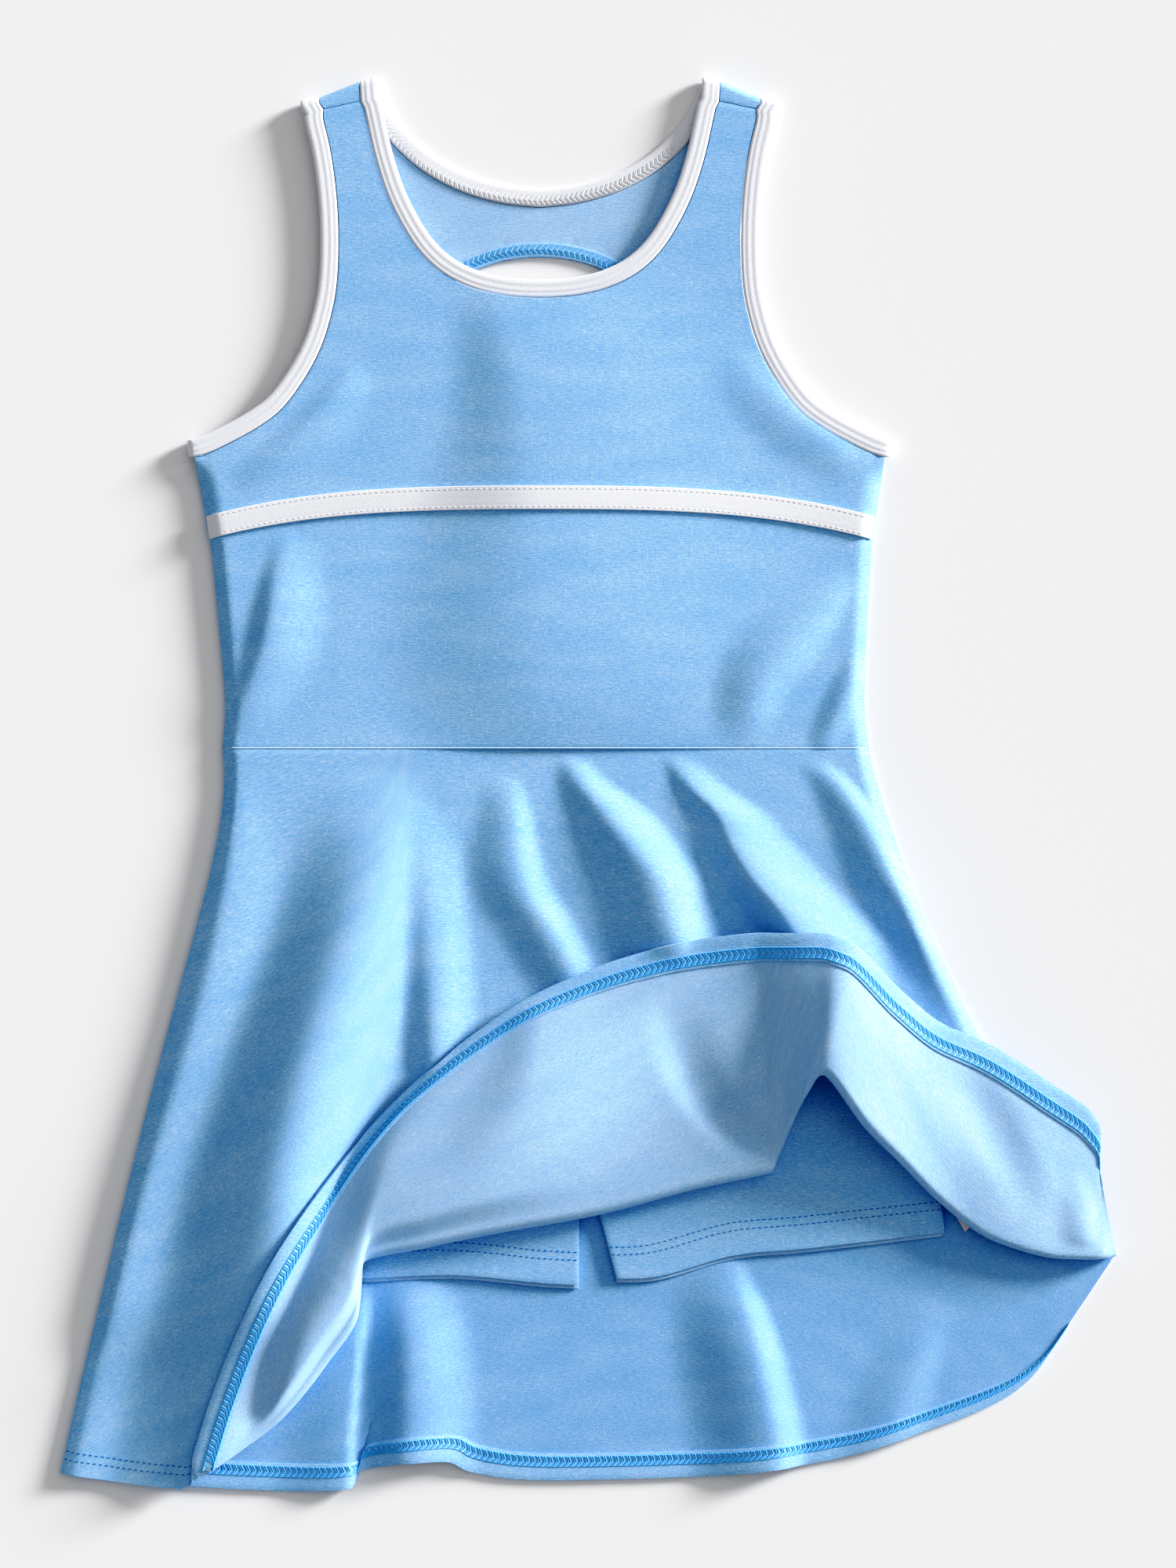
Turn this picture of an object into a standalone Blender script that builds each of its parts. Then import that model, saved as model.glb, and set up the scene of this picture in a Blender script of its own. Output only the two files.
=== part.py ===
"""A child's athletic dress laid flat on a table, with the front skirt turned up over itself.

The back lies face down on the table and the front lies on the back. Sizes are in millimetres
and become metres when a point is placed. X runs across the dress, Y from hem to neck, Z up.
"""

import math

import bmesh
import bpy
from mathutils import Vector

MM = 0.001
SEAM_GAP = 0.3
CLOTH = 1.2
SHORTS_CLOTH = 1.0
TAPE_CLOTH = 1.0
BINDING_THICK = 2.0
BINDING_WIDTH = 7.6
TAPE_WIDTH = 10.0
TAPE_STEPS = 28

# Heights of the middle of each layer above the table
BACK_Z = CLOTH / 2
BACK_BINDING_Z = BINDING_THICK / 2
FRONT_TOP_Z = 3.3
FRONT_WAIST_Z = 4.7
SIDE_SEAM_Z = 2.1
SHORTS_BACK_Z = 2.0
SHORTS_FRONT_Z = 3.3
SIDE_ROLL = 6.0
ROLL_FADE = 12.0
FRONT_LIFT_Y = 260.0
FLAP_CLEARANCE = 1.9

# The front skirt lies lower past the hems of the shorts
SHORTS_HEM_Y = -214.0
HEM_DROP = 0.75
HEM_DROP_LENGTH = 30.0
FOLD_FADE = 6.0

# The bodice leans a little: its centre line at the waist and at the underarm
WAIST_Y = 15.6
UNDERARM_Y = 137.8
WAIST_CENTRE_X = -17.7
UNDERARM_CENTRE_X = -20.3
CUTOUT_CENTRE_Y = 190.0
CUTOUT_HALF_WIDTH = 48.0
CUTOUT_HALF_HEIGHT = 32.0

# Half widths of the bodice from its centre line
NECK_FRONT = [
    # half width, y
    (68.3, 295.2), (65.3, 280.8), (61.5, 264.3), (55.8, 247.8), (46.9, 231.8),
    (37.5, 222.0), (26.0, 216.0), (13.0, 213.0), (0.0, 212.2),
]
NECK_BACK = [
    # half width, y
    (68.3, 295.2), (63.0, 284.0), (56.5, 275.0), (45.5, 265.0), (31.0, 257.0),
    (15.0, 252.3), (0.0, 250.6),
]
ARMHOLE_FRONT = [
    # half width, y
    (100.5, 285.0), (95.3, 264.3), (92.5, 240.0), (92.6, 215.0), (95.4, 198.0),
    (101.2, 182.0), (112.0, 165.4), (122.0, 157.0), (136.0, 149.2), (145.4, 145.0),
]
ARMHOLE_BACK = [
    # half width, y
    (100.5, 285.0), (94.5, 264.3), (86.0, 240.0), (83.5, 215.0), (87.5, 195.0),
    (98.0, 176.0), (112.0, 163.0), (124.0, 155.0), (137.0, 148.7), (145.4, 145.0),
]
BODICE_SIDE = [
    # half width, y
    (145.2, UNDERARM_Y), (143.6, 130.0), (141.2, 115.8), (138.8, 99.3), (137.4, 82.8),
    (135.6, 58.0), (134.3, 33.3), (135.8, WAIST_Y),
]
SHOULDER_SEAM_NECK = (75.6, 287.0)
SHOULDER_SEAM_ARM = (90.6, 283.8)
SHOULDER_TOP_NECK = (75.9, 293.0)
SHOULDER_TOP_ARM = (92.4, 286.4)

# The chest tape covers the seam between the yoke and the lower bodice
CHEST_SEAM_Y = 120.5
CHEST_SEAM_DROP = 12.6
CHEST_HALF_WIDTH = 140.0

# Sides of the skirt below the waist
SKIRT_TOP_Y = WAIST_Y - SEAM_GAP
LEFT_WAIST_X = -153.5
RIGHT_WAIST_X = 118.1
LEFT_HEM_CORNER = (-221.8, -289.4)
RIGHT_VENT = (221.8, -197.7)
LEFT_HOLLOW = 6.6
LEFT_HOLLOW_PLACE = 0.16
RIGHT_HOLLOW = 16.0

# Front skirt, one row for each section from the left side to the right one. The cloth runs
# from the waist to the fold, turns over it with the radius given and runs on to the end,
# which is the hem. Crest is the height of the turned-up part two fifths of the way along it.
# Strips is how many strips of cloth lie between this section and the next.
FRONT_SKIRT = [
    # strips, waist x, fold (x, y), radius, turn degrees, end (x, y), crest z, end z
    (1, -153.5, (-220.3, -282.5), 1.0, 0, (-221.8, -289.4), 2.1, 2.1),
    (1, -147.0, (-213.5, -283.8), 1.0, 0, (-215.0, -290.6), 2.3, 2.3),
    (1, -138.0, (-205.0, -285.0), 1.0, 0, (-206.5, -291.8), 2.3, 2.3),
    (1, -122.0, (-191.0, -287.0), 1.0, 0, (-192.5, -293.8), 2.3, 2.3),
    (1, -106.0, (-178.5, -288.2), 1.0, 0, (-180.0, -295.0), 2.3, 2.3),
    (1, -93.0, (-168.8, -289.5), 1.0, 0, (-170.3, -295.6), 2.3, 2.3),
    (1, -90.0, (-164.6, -290.5), 1.0, 90, (-166.5, -292.5), 4.5, 4.5),
    (1, -88.0, (-160.0, -288.6), 1.1, 180, (-166.0, -284.0), 4.6, 4.8),
    (1, -84.0, (-145.5, -279.0), 1.4, 180, (-160.6, -265.0), 5.5, 7.0),
    (1, -81.5, (-129.4, -266.6), 1.8, 180, (-151.8, -241.0), 9.5, 9.5),
    (1, -79.0, (-109.9, -243.0), 2.4, 180, (-133.7, -202.0), 13.0, 9.5),
    (1, -76.0, (-96.6, -221.5), 2.6, 180, (-106.5, -162.0), 14.0, 9.5),
    (2, -73.5, (-94.6, -200.6), 2.8, 180, (-77.5, -130.0), 14.0, 9.5),
    (2, -69.3, (-69.0, -194.0), 3.0, 180, (-46.2, -103.6), 12.5, 11.0),
    (2, -52.8, (-38.6, -187.8), 3.0, 180, (-19.8, -86.8), 11.0, 11.5),
    (2, -33.0, (3.3, -180.2), 3.0, 180, (16.5, -72.0), 10.2, 10.5),
    (2, -8.3, (45.9, -169.0), 3.0, 180, (42.9, -65.3), 11.0, 13.5),
    (1, 13.2, (77.0, -162.0), 3.0, 180, (70.0, -62.0), 11.0, 14.5),
    (1, 33.0, (91.0, -129.5), 2.8, 180, (95.7, -62.0), 22.0, 18.0),
    (1, 43.6, (98.0, -120.6), 2.6, 180, (109.6, -66.0), 26.5, 19.0),
    (2, 56.1, (115.8, -142.9), 2.6, 180, (130.7, -86.1), 20.5, 15.0),
    (2, 66.0, (131.3, -158.4), 2.6, 180, (146.9, -99.3), 15.5, 12.5),
    (2, 77.6, (148.5, -175.6), 2.4, 180, (169.0, -109.2), 12.0, 11.0),
    (2, 92.4, (170.3, -191.0), 2.2, 180, (193.4, -124.7), 10.0, 9.0),
    (1, 105.0, (197.0, -198.4), 2.0, 180, (211.3, -137.6), 7.5, 7.0),
    (1, 111.5, (212.0, -198.9), 1.8, 180, (215.2, -145.6), 6.2, 6.0),
    (1, 118.1, (221.8, -197.7), 1.6, 180, (213.8, -157.4), 5.5, 5.5),
]
CREST_PLACE = 0.4
FRONT_SKIRT_ROWS = (15, 4, 7)
FLAT_SHARE = 0.35
CURL_RISE = 0.7

# Shares of the sections that follow the hollow of the left side and of the right side
LEFT_REACH = 0.22
RIGHT_REACH = 0.38

# Back skirt hem from the left corner to the top of the right side vent
BACK_HEM = [
    (-221.8, -288.6), (-166.0, -295.3), (-102.0, -296.6), (-90.0, -288.0), (-62.0, -284.5),
    (-50.0, -289.0), (-30.0, -292.2), (3.0, -292.4), (61.0, -290.0), (108.0, -282.8),
    (139.0, -273.0), (170.0, -261.0), (186.0, -250.0), (196.0, -236.3),
]
VENT_PLACE = 0.83

# The back skirt's mesh: shares of the way down its rows, and where its lines meet the hem
BACK_SKIRT_ROWS = [
    0.0, 0.17, 0.34, 0.5, 0.62, 0.68, 0.73, 0.78, VENT_PLACE, 0.865, 0.9, 0.935, 0.97, 1.0,
]
BACK_SKIRT_LINES = [
    -221.8, -195.0, -165.0, -138.0, -118.0, -110.0, -105.5, -102.5, -99.0, -92.0, -86.0, -81.5,
    -78.5, -75.0, -69.0, -60.0, -40.0, -15.0, 12.0, 36.0, 54.0, 66.0, 74.0, 80.0, 85.0, 91.0,
    104.0, 125.0, 150.0, 175.0, 196.0,
]

# Crests of the folds that stand up in the cloth, each from its upper end to its lower one
FRONT_SKIRT_FOLDS = {
    "left_edge": [
        # y, x, height, width of the left flank, width of the right flank
        (0, -148, 0.8, 5, 14), (-49, -152, 3.0, 7, 20), (-132, -174, 5.0, 8, 26),
        (-214, -194, 6.0, 8, 24), (-288, -211, 5.5, 7, 22),
    ],
    "left_main": [
        (-13, -82, 0.5, 12, 10), (-39, -91, 3.0, 22, 18), (-82, -106, 6.0, 28, 24),
        (-132, -120, 8.0, 32, 26), (-181, -132, 9.0, 32, 24), (-231, -142, 8.0, 30, 22),
        (-294, -158, 5.0, 24, 16),
    ],
    "centre_left": [
        (-19, -68, 0.5, 8, 10), (-49, -68, 3.0, 14, 16), (-82, -65, 4.5, 16, 20),
        (-109, -64, 5.0, 16, 20), (-148, -61, 4.0, 16, 20), (-181, -59, 1.5, 14, 16),
    ],
    "centre": [
        (0, -36, 0.5, 8, 6), (-19, -33, 2.5, 14, 8), (-43, -26, 4.0, 24, 12),
        (-66, -15, 4.0, 24, 12), (-79, -2, 4.0, 22, 12), (-115, 3, 2.0, 20, 12),
    ],
    "centre_right": [
        (12, -2, 0.5, 8, 6), (0, 5, 4.0, 16, 9), (-20, 18, 7.0, 24, 13), (-39, 28, 9.0, 31, 16),
        (-66, 38, 8.0, 31, 16), (-115, 50, 6.0, 26, 16), (-165, 59, 3.5, 22, 14),
    ],
    "flute": [
        (10, 43, 0.5, 7, 8), (-3, 50, 3.5, 12, 14), (-20, 58, 5.5, 16, 20), (-43, 74, 8.0, 18, 24),
        (-59, 86, 10.0, 20, 28), (-86, 94, 14.0, 21, 36), (-121, 98, 17.0, 22, 56),
        (-150, 99, 16.0, 22, 60), (-190, 100, 12.0, 22, 60),
    ],
    "right": [
        (7, 89, 0.5, 9, 5), (-10, 110, 3.0, 15, 8), (-33, 123, 4.0, 20, 10),
        (-66, 141, 5.0, 22, 12), (-99, 157, 5.0, 22, 14), (-140, 176, 2.5, 20, 14),
    ],
}
BODICE_FOLDS = {
    "yoke": [(201, -50, 0.4, 16, 16), (165, -17, 1.6, 22, 22), (132, 3, 0.4, 20, 20)],
    "left_waist": [(103, -124, 1.2, 12, 16), (73, -127, 2.4, 12, 18), (46, -133, 2.4, 9, 16),
                   (27, -141, 1.2, 6, 14)],
    "right_side": [(93, 114, 0.4, 9, 5), (70, 92, 2.0, 16, 10), (46, 76, 2.5, 16, 10),
                   (23, 67, 1.0, 12, 8)],
    "right_waist": [(60, 115, 0.6, 9, 4), (40, 105, 2.0, 12, 8), (25, 97, 1.2, 10, 8)],
    "middle": [(96, -48, 0.5, 24, 24), (60, -46, 1.4, 26, 26), (27, -44, 0.6, 22, 22)],
}
BACK_SKIRT_FOLDS = {
    "pleat_edge": [(-216, -97, 0.2, 10, 2), (-240, -98, 2.2, 18, 2.5), (-296, -103, 2.6, 22, 2.5)],
    "pleat_ridge": [(-218, -77, 0.2, 3, 8), (-240, -76, 3.4, 3.5, 14), (-286, -77, 3.2, 3.5, 14)],
    "right_ridge": [(-211, 61, 0.2, 10, 4), (-231, 69, 5.5, 26, 8), (-277, 78, 6.0, 28, 9)],
}

# Shorts: the centre seam from the waist to the crotch, then the edges of each leg
CENTRE_SEAM = [(-17.9, SKIRT_TOP_Y), (-8.0, -80.0), (-1.0, -161.0)]
SHORTS_LEGS = {
    "left": {"outer": [(-143.0, SKIRT_TOP_Y), (-143.5, -80.0), (-140.6, -211.0)],
             "inner": [(-1.0, -161.0), (-3.5, -184.0), (-3.8, -212.0)],
             "hem": [(-140.6, -211.0), (-94.0, -209.2), (-56.0, -207.9), (-20.0, -211.2),
                     (-3.8, -212.0)]},
    "right": {"outer": [(107.0, SKIRT_TOP_Y), (128.0, -80.0), (148.2, -177.0), (148.4, -190.0)],
              "inner": [(-1.0, -161.0), (4.5, -181.0), (12.0, -209.4)],
              "hem": [(12.0, -209.4), (30.4, -208.2), (61.4, -199.6), (92.4, -196.6),
                      (148.4, -190.0)]},
}
SHORTS_COLUMNS = 6
SHORTS_STEPS = (6, 3)
FRONT_LEG_STEP = 1.6
LABEL_WIDTH = 10.0
LABEL_LOW_Y = -188.0
LABEL_HIGH_Y = -176.0


# Steps of the mesh: yoke and back down the armhole, side, neck and centre line
YOKE_COLUMNS = 6
YOKE_STEPS = (16, 3, 11, 8)
BACK_COLUMNS = 7
BACK_STEPS = (16, 6, 10, 12)
SHOULDER_STEPS = 5
LOWER_FRONT_GRID = (26, 9)


def spline(points, pieces=12):
    """Points of a smooth curve through the given ones, close together."""
    ends = [points[0]] + list(points) + [points[-1]]
    curve = []
    for before, start, stop, after in zip(ends, ends[1:], ends[2:], ends[3:]):
        for step in range(pieces):
            t = step / pieces
            curve.append(tuple(
                0.5 * (2 * b + (c - a) * t + (2 * a - 5 * b + 4 * c - d) * t ** 2
                       + (3 * b - a - 3 * c + d) * t ** 3)
                for a, b, c, d in zip(before, start, stop, after)))
    curve.append(tuple(points[-1]))
    return curve


def along(curve, count, start=0.0, stop=1.0):
    """Points evenly spaced along a curve, between two shares of its length."""
    lengths = [0.0]
    for one, other in zip(curve, curve[1:]):
        lengths.append(lengths[-1] + math.dist(one, other))
    picked = []
    for step in range(count + 1):
        goal = lengths[-1] * (start + (stop - start) * step / count)
        place = 1
        while place < len(lengths) - 1 and lengths[place] < goal:
            place += 1
        span = lengths[place] - lengths[place - 1]
        share = (goal - lengths[place - 1]) / span if span else 0.0
        picked.append(Vector(curve[place - 1]).lerp(Vector(curve[place]), share))
    return picked


def offset(curve, distance):
    """The curve moved sideways, to the left of its own direction."""
    moved = []
    for place, point in enumerate(curve):
        before = curve[max(place - 1, 0)]
        after = curve[min(place + 1, len(curve) - 1)]
        ahead = Vector((after[0] - before[0], after[1] - before[1])).normalized()
        moved.append((point[0] - ahead.y * distance, point[1] + ahead.x * distance))
    return moved


def ease(value):
    """Nought to one, smoothly."""
    value = min(max(value, 0.0), 1.0)
    return value * value * (3 - 2 * value)


def between(table, key):
    """The table's row at a key that runs down its first column, or None past its ends."""
    if key > table[0][0] or key < table[-1][0]:
        return None
    for upper, lower in zip(table, table[1:]):
        if key >= lower[0]:
            share = ease((upper[0] - key) / (upper[0] - lower[0]))
            return [a + (b - a) * share for a, b in zip(upper, lower)]
    return None


def fold_height(folds, x, y):
    """Height that the folds add at a place, each with a left and a right flank."""
    total = 0.0
    for table in folds.values():
        row = between(table, y)
        if row is None:
            continue
        reach = row[3] if x < row[1] else row[4]
        away = min(abs(x - row[1]) / reach, 1.0)
        total += row[2] * 0.5 * (1 + math.cos(math.pi * away))
    return total


def centre_x(y):
    """The bodice's centre line."""
    share = min(max((y - WAIST_Y) / (UNDERARM_Y - WAIST_Y), 0.0), 1.0)
    return WAIST_CENTRE_X + (UNDERARM_CENTRE_X - WAIST_CENTRE_X) * share


def sided(half, side):
    """A half outline placed left (side -1) or right (side 1) of the centre line."""
    return [(centre_x(y) + side * width, y) for width, y in half]


def chest_seam_y(x):
    """Height up the bodice of the chest seam, which drops towards the sides."""
    share = abs(x - UNDERARM_CENTRE_X) / CHEST_HALF_WIDTH
    return CHEST_SEAM_Y - CHEST_SEAM_DROP * share ** 3


def side_half_width(y):
    """Half width of the bodice at a height, below the underarm."""
    for upper, lower in zip(BODICE_SIDE, BODICE_SIDE[1:]):
        if y >= lower[1]:
            share = (upper[1] - y) / (upper[1] - lower[1])
            return upper[0] + (lower[0] - upper[0]) * share
    return BODICE_SIDE[-1][0]


def bodice_front_z(x, y):
    """Middle of the front bodice above the table."""
    lift = ease((FRONT_LIFT_Y - y) / (FRONT_LIFT_Y - WAIST_Y))
    level = FRONT_TOP_Z + (FRONT_WAIST_Z - FRONT_TOP_Z) * lift + fold_height(BODICE_FOLDS, x, y)
    if y >= UNDERARM_Y:
        return level
    inside = side_half_width(y) - abs(x - centre_x(y))
    roll = (1 - ease(inside / SIDE_ROLL)) * ease((UNDERARM_Y - y) / ROLL_FADE)
    return level - (level - SIDE_SEAM_Z) * roll


def left_side(share):
    """A point on the left edge of the skirt, from the waist down."""
    x = LEFT_WAIST_X + (LEFT_HEM_CORNER[0] - LEFT_WAIST_X) * share
    y = SKIRT_TOP_Y + (LEFT_HEM_CORNER[1] - SKIRT_TOP_Y) * share
    ratio = share / LEFT_HOLLOW_PLACE
    return Vector((x + LEFT_HOLLOW * ratio * math.exp(1 - ratio) * ease((1 - share) * 4), y))


def right_side(share):
    """A point on the right edge of the skirt, from the waist to the top of the side vent."""
    x = RIGHT_WAIST_X + (RIGHT_VENT[0] - RIGHT_WAIST_X) * share
    y = SKIRT_TOP_Y + (RIGHT_VENT[1] - SKIRT_TOP_Y) * share
    return Vector((x - RIGHT_HOLLOW * math.sin(math.pi * share) ** 0.8, y))


def edge_x(side, y):
    """Where the skirt's left or right edge is at a height."""
    bottom = LEFT_HEM_CORNER[1] if side is left_side else RIGHT_VENT[1]
    share = min(max((SKIRT_TOP_Y - y) / (SKIRT_TOP_Y - bottom), 0.0), 1.0)
    return side(share).x


def skirt_front_z(x, y):
    """Middle of the front skirt's lower layer, which lies on the shorts and the back skirt."""
    inside = min(x - edge_x(left_side, y), edge_x(right_side, y) - x)
    over_shorts = 1 - HEM_DROP * ease((SHORTS_HEM_Y - y) / HEM_DROP_LENGTH)
    lift = ease(inside / SIDE_ROLL)
    level = SIDE_SEAM_Z + (FRONT_WAIST_Z - SIDE_SEAM_Z) * lift * over_shorts
    return level + fold_height(FRONT_SKIRT_FOLDS, x, y) * ease((inside + 1.0) / FOLD_FADE)


def skirt_back_z(x, y):
    """Middle of the back skirt."""
    return BACK_Z + fold_height(BACK_SKIRT_FOLDS, x, y)


def material(name, colour, roughness):
    """A plain cloth material."""
    made = bpy.data.materials.new(name)
    made.use_nodes = True
    shader = made.node_tree.nodes["Principled BSDF"]
    shader.inputs["Base Color"].default_value = (*colour, 1.0)
    shader.inputs["Roughness"].default_value = roughness
    shader.inputs["Metallic"].default_value = 0.0
    made.diffuse_color = (*colour, 1.0)
    return made


def add_object(name, bm, finish, collection):
    """Make the mesh an object of its own in the collection."""
    mesh = bpy.data.meshes.new(name)
    bm.to_mesh(mesh)
    bm.free()
    mesh.materials.append(finish)
    mesh.shade_smooth()
    made = bpy.data.objects.new(name, mesh)
    collection.objects.link(made)
    return made


def sheet(name, grids, thickness, finish, collection):
    """A cloth wall through one grid of rails, or through more that share their edges."""
    bm = bmesh.new()
    for rails in grids:
        columns = len(rails[0]) - 1
        rows = len(rails) - 1
        made = bmesh.ops.create_grid(bm, x_segments=columns, y_segments=rows, size=0.5)
        for vert in made["verts"]:
            column = round((vert.co.x + 0.5) * columns)
            row = round((vert.co.y + 0.5) * rows)
            vert.co = Vector(rails[row][column]) * MM
    bmesh.ops.remove_doubles(bm, verts=bm.verts, dist=0.00001)
    made = add_object(name, bm, finish, collection)
    wall = made.modifiers.new("wall", "SOLIDIFY")
    wall.thickness = thickness * MM
    wall.offset = 0.0
    return made


def patch(top, bottom, left, right, height, downs=None):
    """Rails that fill four edges: top and bottom run across, left and right run down.

    The downs are the rails' shares of the way down, evenly spaced if none are given.
    """
    columns = len(top) - 1
    rows = len(left) - 1
    rails = []
    for row in range(rows + 1):
        v = downs[row] if downs else row / rows
        rail = []
        for column in range(columns + 1):
            u = column / columns
            across = left[row].lerp(right[row], u)
            down = top[column].lerp(bottom[column], v)
            corners = top[0].lerp(top[-1], u).lerp(bottom[0].lerp(bottom[-1], u), v)
            point = across + down - corners
            rail.append(Vector((point.x, point.y, height(point.x, point.y))))
        rails.append(rail)
    return rails


def rolled(start, outward, low_z, high_z, steps):
    """Points of a half turn from the high layer to the low one, past the start point."""
    radius = (high_z - low_z) / 2
    turn = []
    for step in range(1, steps):
        angle = math.pi * step / steps
        plan = Vector(start[:2]) + Vector(outward) * radius * math.sin(angle)
        turn.append(Vector((plan.x, plan.y, low_z + radius + radius * math.cos(angle))))
    return turn


def placed(pair, side):
    """A half width and height put left or right of the centre line."""
    return Vector((centre_x(pair[1]) + side * pair[0], pair[1]))


def neck_edge(table, side, shoulder, steps):
    """Cloth edge of half a neckline, from the shoulder to the centre line."""
    first = placed(shoulder, side)
    edge = offset(spline(sided(table, side)), side * (BINDING_WIDTH + SEAM_GAP))
    edge = [first] + [Vector(p) for p in edge if p[1] < first.y - 2.0]
    edge[-1].x = centre_x(edge[-1].y)
    return along(edge, steps)


def arm_edge(table, side, shoulder, steps):
    """Cloth edge of an armhole, from the shoulder to the underarm."""
    first = placed(shoulder, side)
    corner = placed((BODICE_SIDE[0][0] - SEAM_GAP, UNDERARM_Y - SEAM_GAP), side)
    edge = offset(spline(sided(table, side)), -side * (BINDING_WIDTH + SEAM_GAP))
    edge = [Vector(p) for p in edge if p[1] < first.y - 2.0 and abs(p[0] - corner.x) > 4.0]
    return along([first] + edge + [corner], steps)


def half_panel(tables, side, shoulder, base, steps):
    """Outer and inner edges of half a bodice panel, both from the shoulder to the base.

    The outer edge runs down the armhole and the side, the inner one down the neck and the
    centre line. The base is the outer and the inner end, and the steps are those down the
    armhole, the side, the neck and the centre line.
    """
    neck = neck_edge(tables[0], side, shoulder[0], steps[2])
    arm = arm_edge(tables[1], side, shoulder[1], steps[0])
    flank = [placed(pair, side) for pair in BODICE_SIDE[1:] if pair[1] > base[0].y + 4.0]
    flank = [arm[-1]] + flank + [base[0]]
    outer = arm + along(flank, steps[1])[1:]
    inner = neck + along([neck[-1], base[1]], steps[3])[1:]
    return outer, inner


def half_grid(outer, inner, side, base, height):
    """Rails of half a panel, each from left to right, down to the points of its base."""
    columns = len(base) - 1
    left, right = (outer, inner) if side < 0 else (inner, outer)
    bottom = base if side < 0 else base[::-1]
    top = [left[0].lerp(right[0], step / columns) for step in range(columns + 1)]
    flat = [[p.to_3d() for p in rail] for rail in (top, bottom, left, right)]
    return patch(*flat, height)


def build_yoke(blue, collection):
    """Upper front, from the neck and the shoulder seams to the chest seam."""
    grids = []
    for side in (-1, 1):
        corner_x = centre_x(CHEST_SEAM_Y) + side * CHEST_HALF_WIDTH
        middle_x = centre_x(CHEST_SEAM_Y)
        base = [Vector((x, chest_seam_y(x) + SEAM_GAP / 2)) for x in
                (corner_x + (middle_x - corner_x) * step / YOKE_COLUMNS
                 for step in range(YOKE_COLUMNS + 1))]
        outer, inner = half_panel((NECK_FRONT, ARMHOLE_FRONT), side,
                                  (SHOULDER_SEAM_NECK, SHOULDER_SEAM_ARM),
                                  (base[0], base[-1]), YOKE_STEPS)
        grids.append(half_grid(outer, inner, side, base, bodice_front_z))
    sheet("bodice_front_upper", grids, CLOTH, blue, collection)


def build_lower_front(blue, collection):
    """Lower front, from the chest seam to the waist."""
    columns, rows = LOWER_FRONT_GRID
    top = []
    for step in range(columns + 1):
        x = centre_x(CHEST_SEAM_Y) + CHEST_HALF_WIDTH * (2 * step / columns - 1)
        top.append(Vector((x, chest_seam_y(x) - SEAM_GAP / 2, 0.0)))
    width = RIGHT_WAIST_X - LEFT_WAIST_X
    waist = [Vector((LEFT_WAIST_X + width * step / columns, WAIST_Y, 0.0))
             for step in range(columns + 1)]
    edges = []
    for side, place in ((-1, 0), (1, -1)):
        flank = [placed(pair, side) for pair in BODICE_SIDE
                 if WAIST_Y + 1.0 < pair[1] < top[0].y - 4.0]
        flank = [top[place].to_2d()] + flank + [waist[place].to_2d()]
        edges.append([p.to_3d() for p in along(flank, rows)])
    rails = patch(top, waist, edges[0], edges[1], bodice_front_z)
    sheet("bodice_front_lower", [rails], CLOTH, blue, collection)


def build_back(blue, collection):
    """Back, whose straps turn over the shoulders to the seams on the front."""
    grids = []
    for side, waist_x in ((-1, LEFT_WAIST_X), (1, RIGHT_WAIST_X)):
        middle_x = centre_x(WAIST_Y)
        base = [Vector((waist_x + (middle_x - waist_x) * step / BACK_COLUMNS, WAIST_Y))
                for step in range(BACK_COLUMNS + 1)]
        outer, inner = half_panel((NECK_BACK, ARMHOLE_BACK), side,
                                  (SHOULDER_TOP_NECK, SHOULDER_TOP_ARM),
                                  (base[0], base[-1]), BACK_STEPS)
        rails = half_grid(outer, inner, side, base, lambda x, y: BACK_Z)
        turn = [rolled(p, (0.0, 1.0), BACK_Z, FRONT_TOP_Z, SHOULDER_STEPS) for p in rails[0]]
        lead = [list(rail) for rail in zip(*turn)]
        ends = [(*placed((seam[0], seam[1] + SEAM_GAP), side), FRONT_TOP_Z)
                for seam in (SHOULDER_SEAM_NECK, SHOULDER_SEAM_ARM)]
        near, far = (ends[1], ends[0]) if side < 0 else (ends[0], ends[1])
        seam = [Vector(near).lerp(Vector(far), step / BACK_COLUMNS)
                for step in range(BACK_COLUMNS + 1)]
        top = [Vector((p.x, p.y, FRONT_TOP_Z)) for p in rails[0]]
        grids.append([seam, top] + lead + rails)
    return sheet("bodice_back", grids, CLOTH, blue, collection)


def cut_back_opening(back, cutters):
    """Cut the rounded opening between the shoulder blades."""
    bpy.ops.mesh.primitive_cylinder_add(vertices=32, radius=1.0, depth=12.0 * MM)
    cutter = bpy.context.object
    cutter.name = "back_opening_cutter"
    for vert in cutter.data.vertices:
        vert.co.x *= CUTOUT_HALF_WIDTH * MM
        vert.co.y *= CUTOUT_HALF_HEIGHT * MM
    cutter.location = (UNDERARM_CENTRE_X * MM, CUTOUT_CENTRE_Y * MM, BACK_Z * MM)
    for holder in list(cutter.users_collection):
        holder.objects.unlink(cutter)
    cutters.objects.link(cutter)
    cutter.hide_render = True
    cutter.display_type = "WIRE"
    cut = back.modifiers.new("opening", "BOOLEAN")
    cut.operation = "DIFFERENCE"
    cut.solver = "EXACT"
    cut.object = cutter


def band_edges(cloth, distance, first, last):
    """Cloth edge and free edge of a band that runs beside the cloth's edge points."""
    near = [Vector(p) for p in offset(cloth, distance * SEAM_GAP)]
    free = [Vector(p) for p in offset(cloth, distance * (SEAM_GAP + BINDING_WIDTH))]
    near[0], free[0] = first
    near[-1], free[-1] = last
    return near, free


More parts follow.
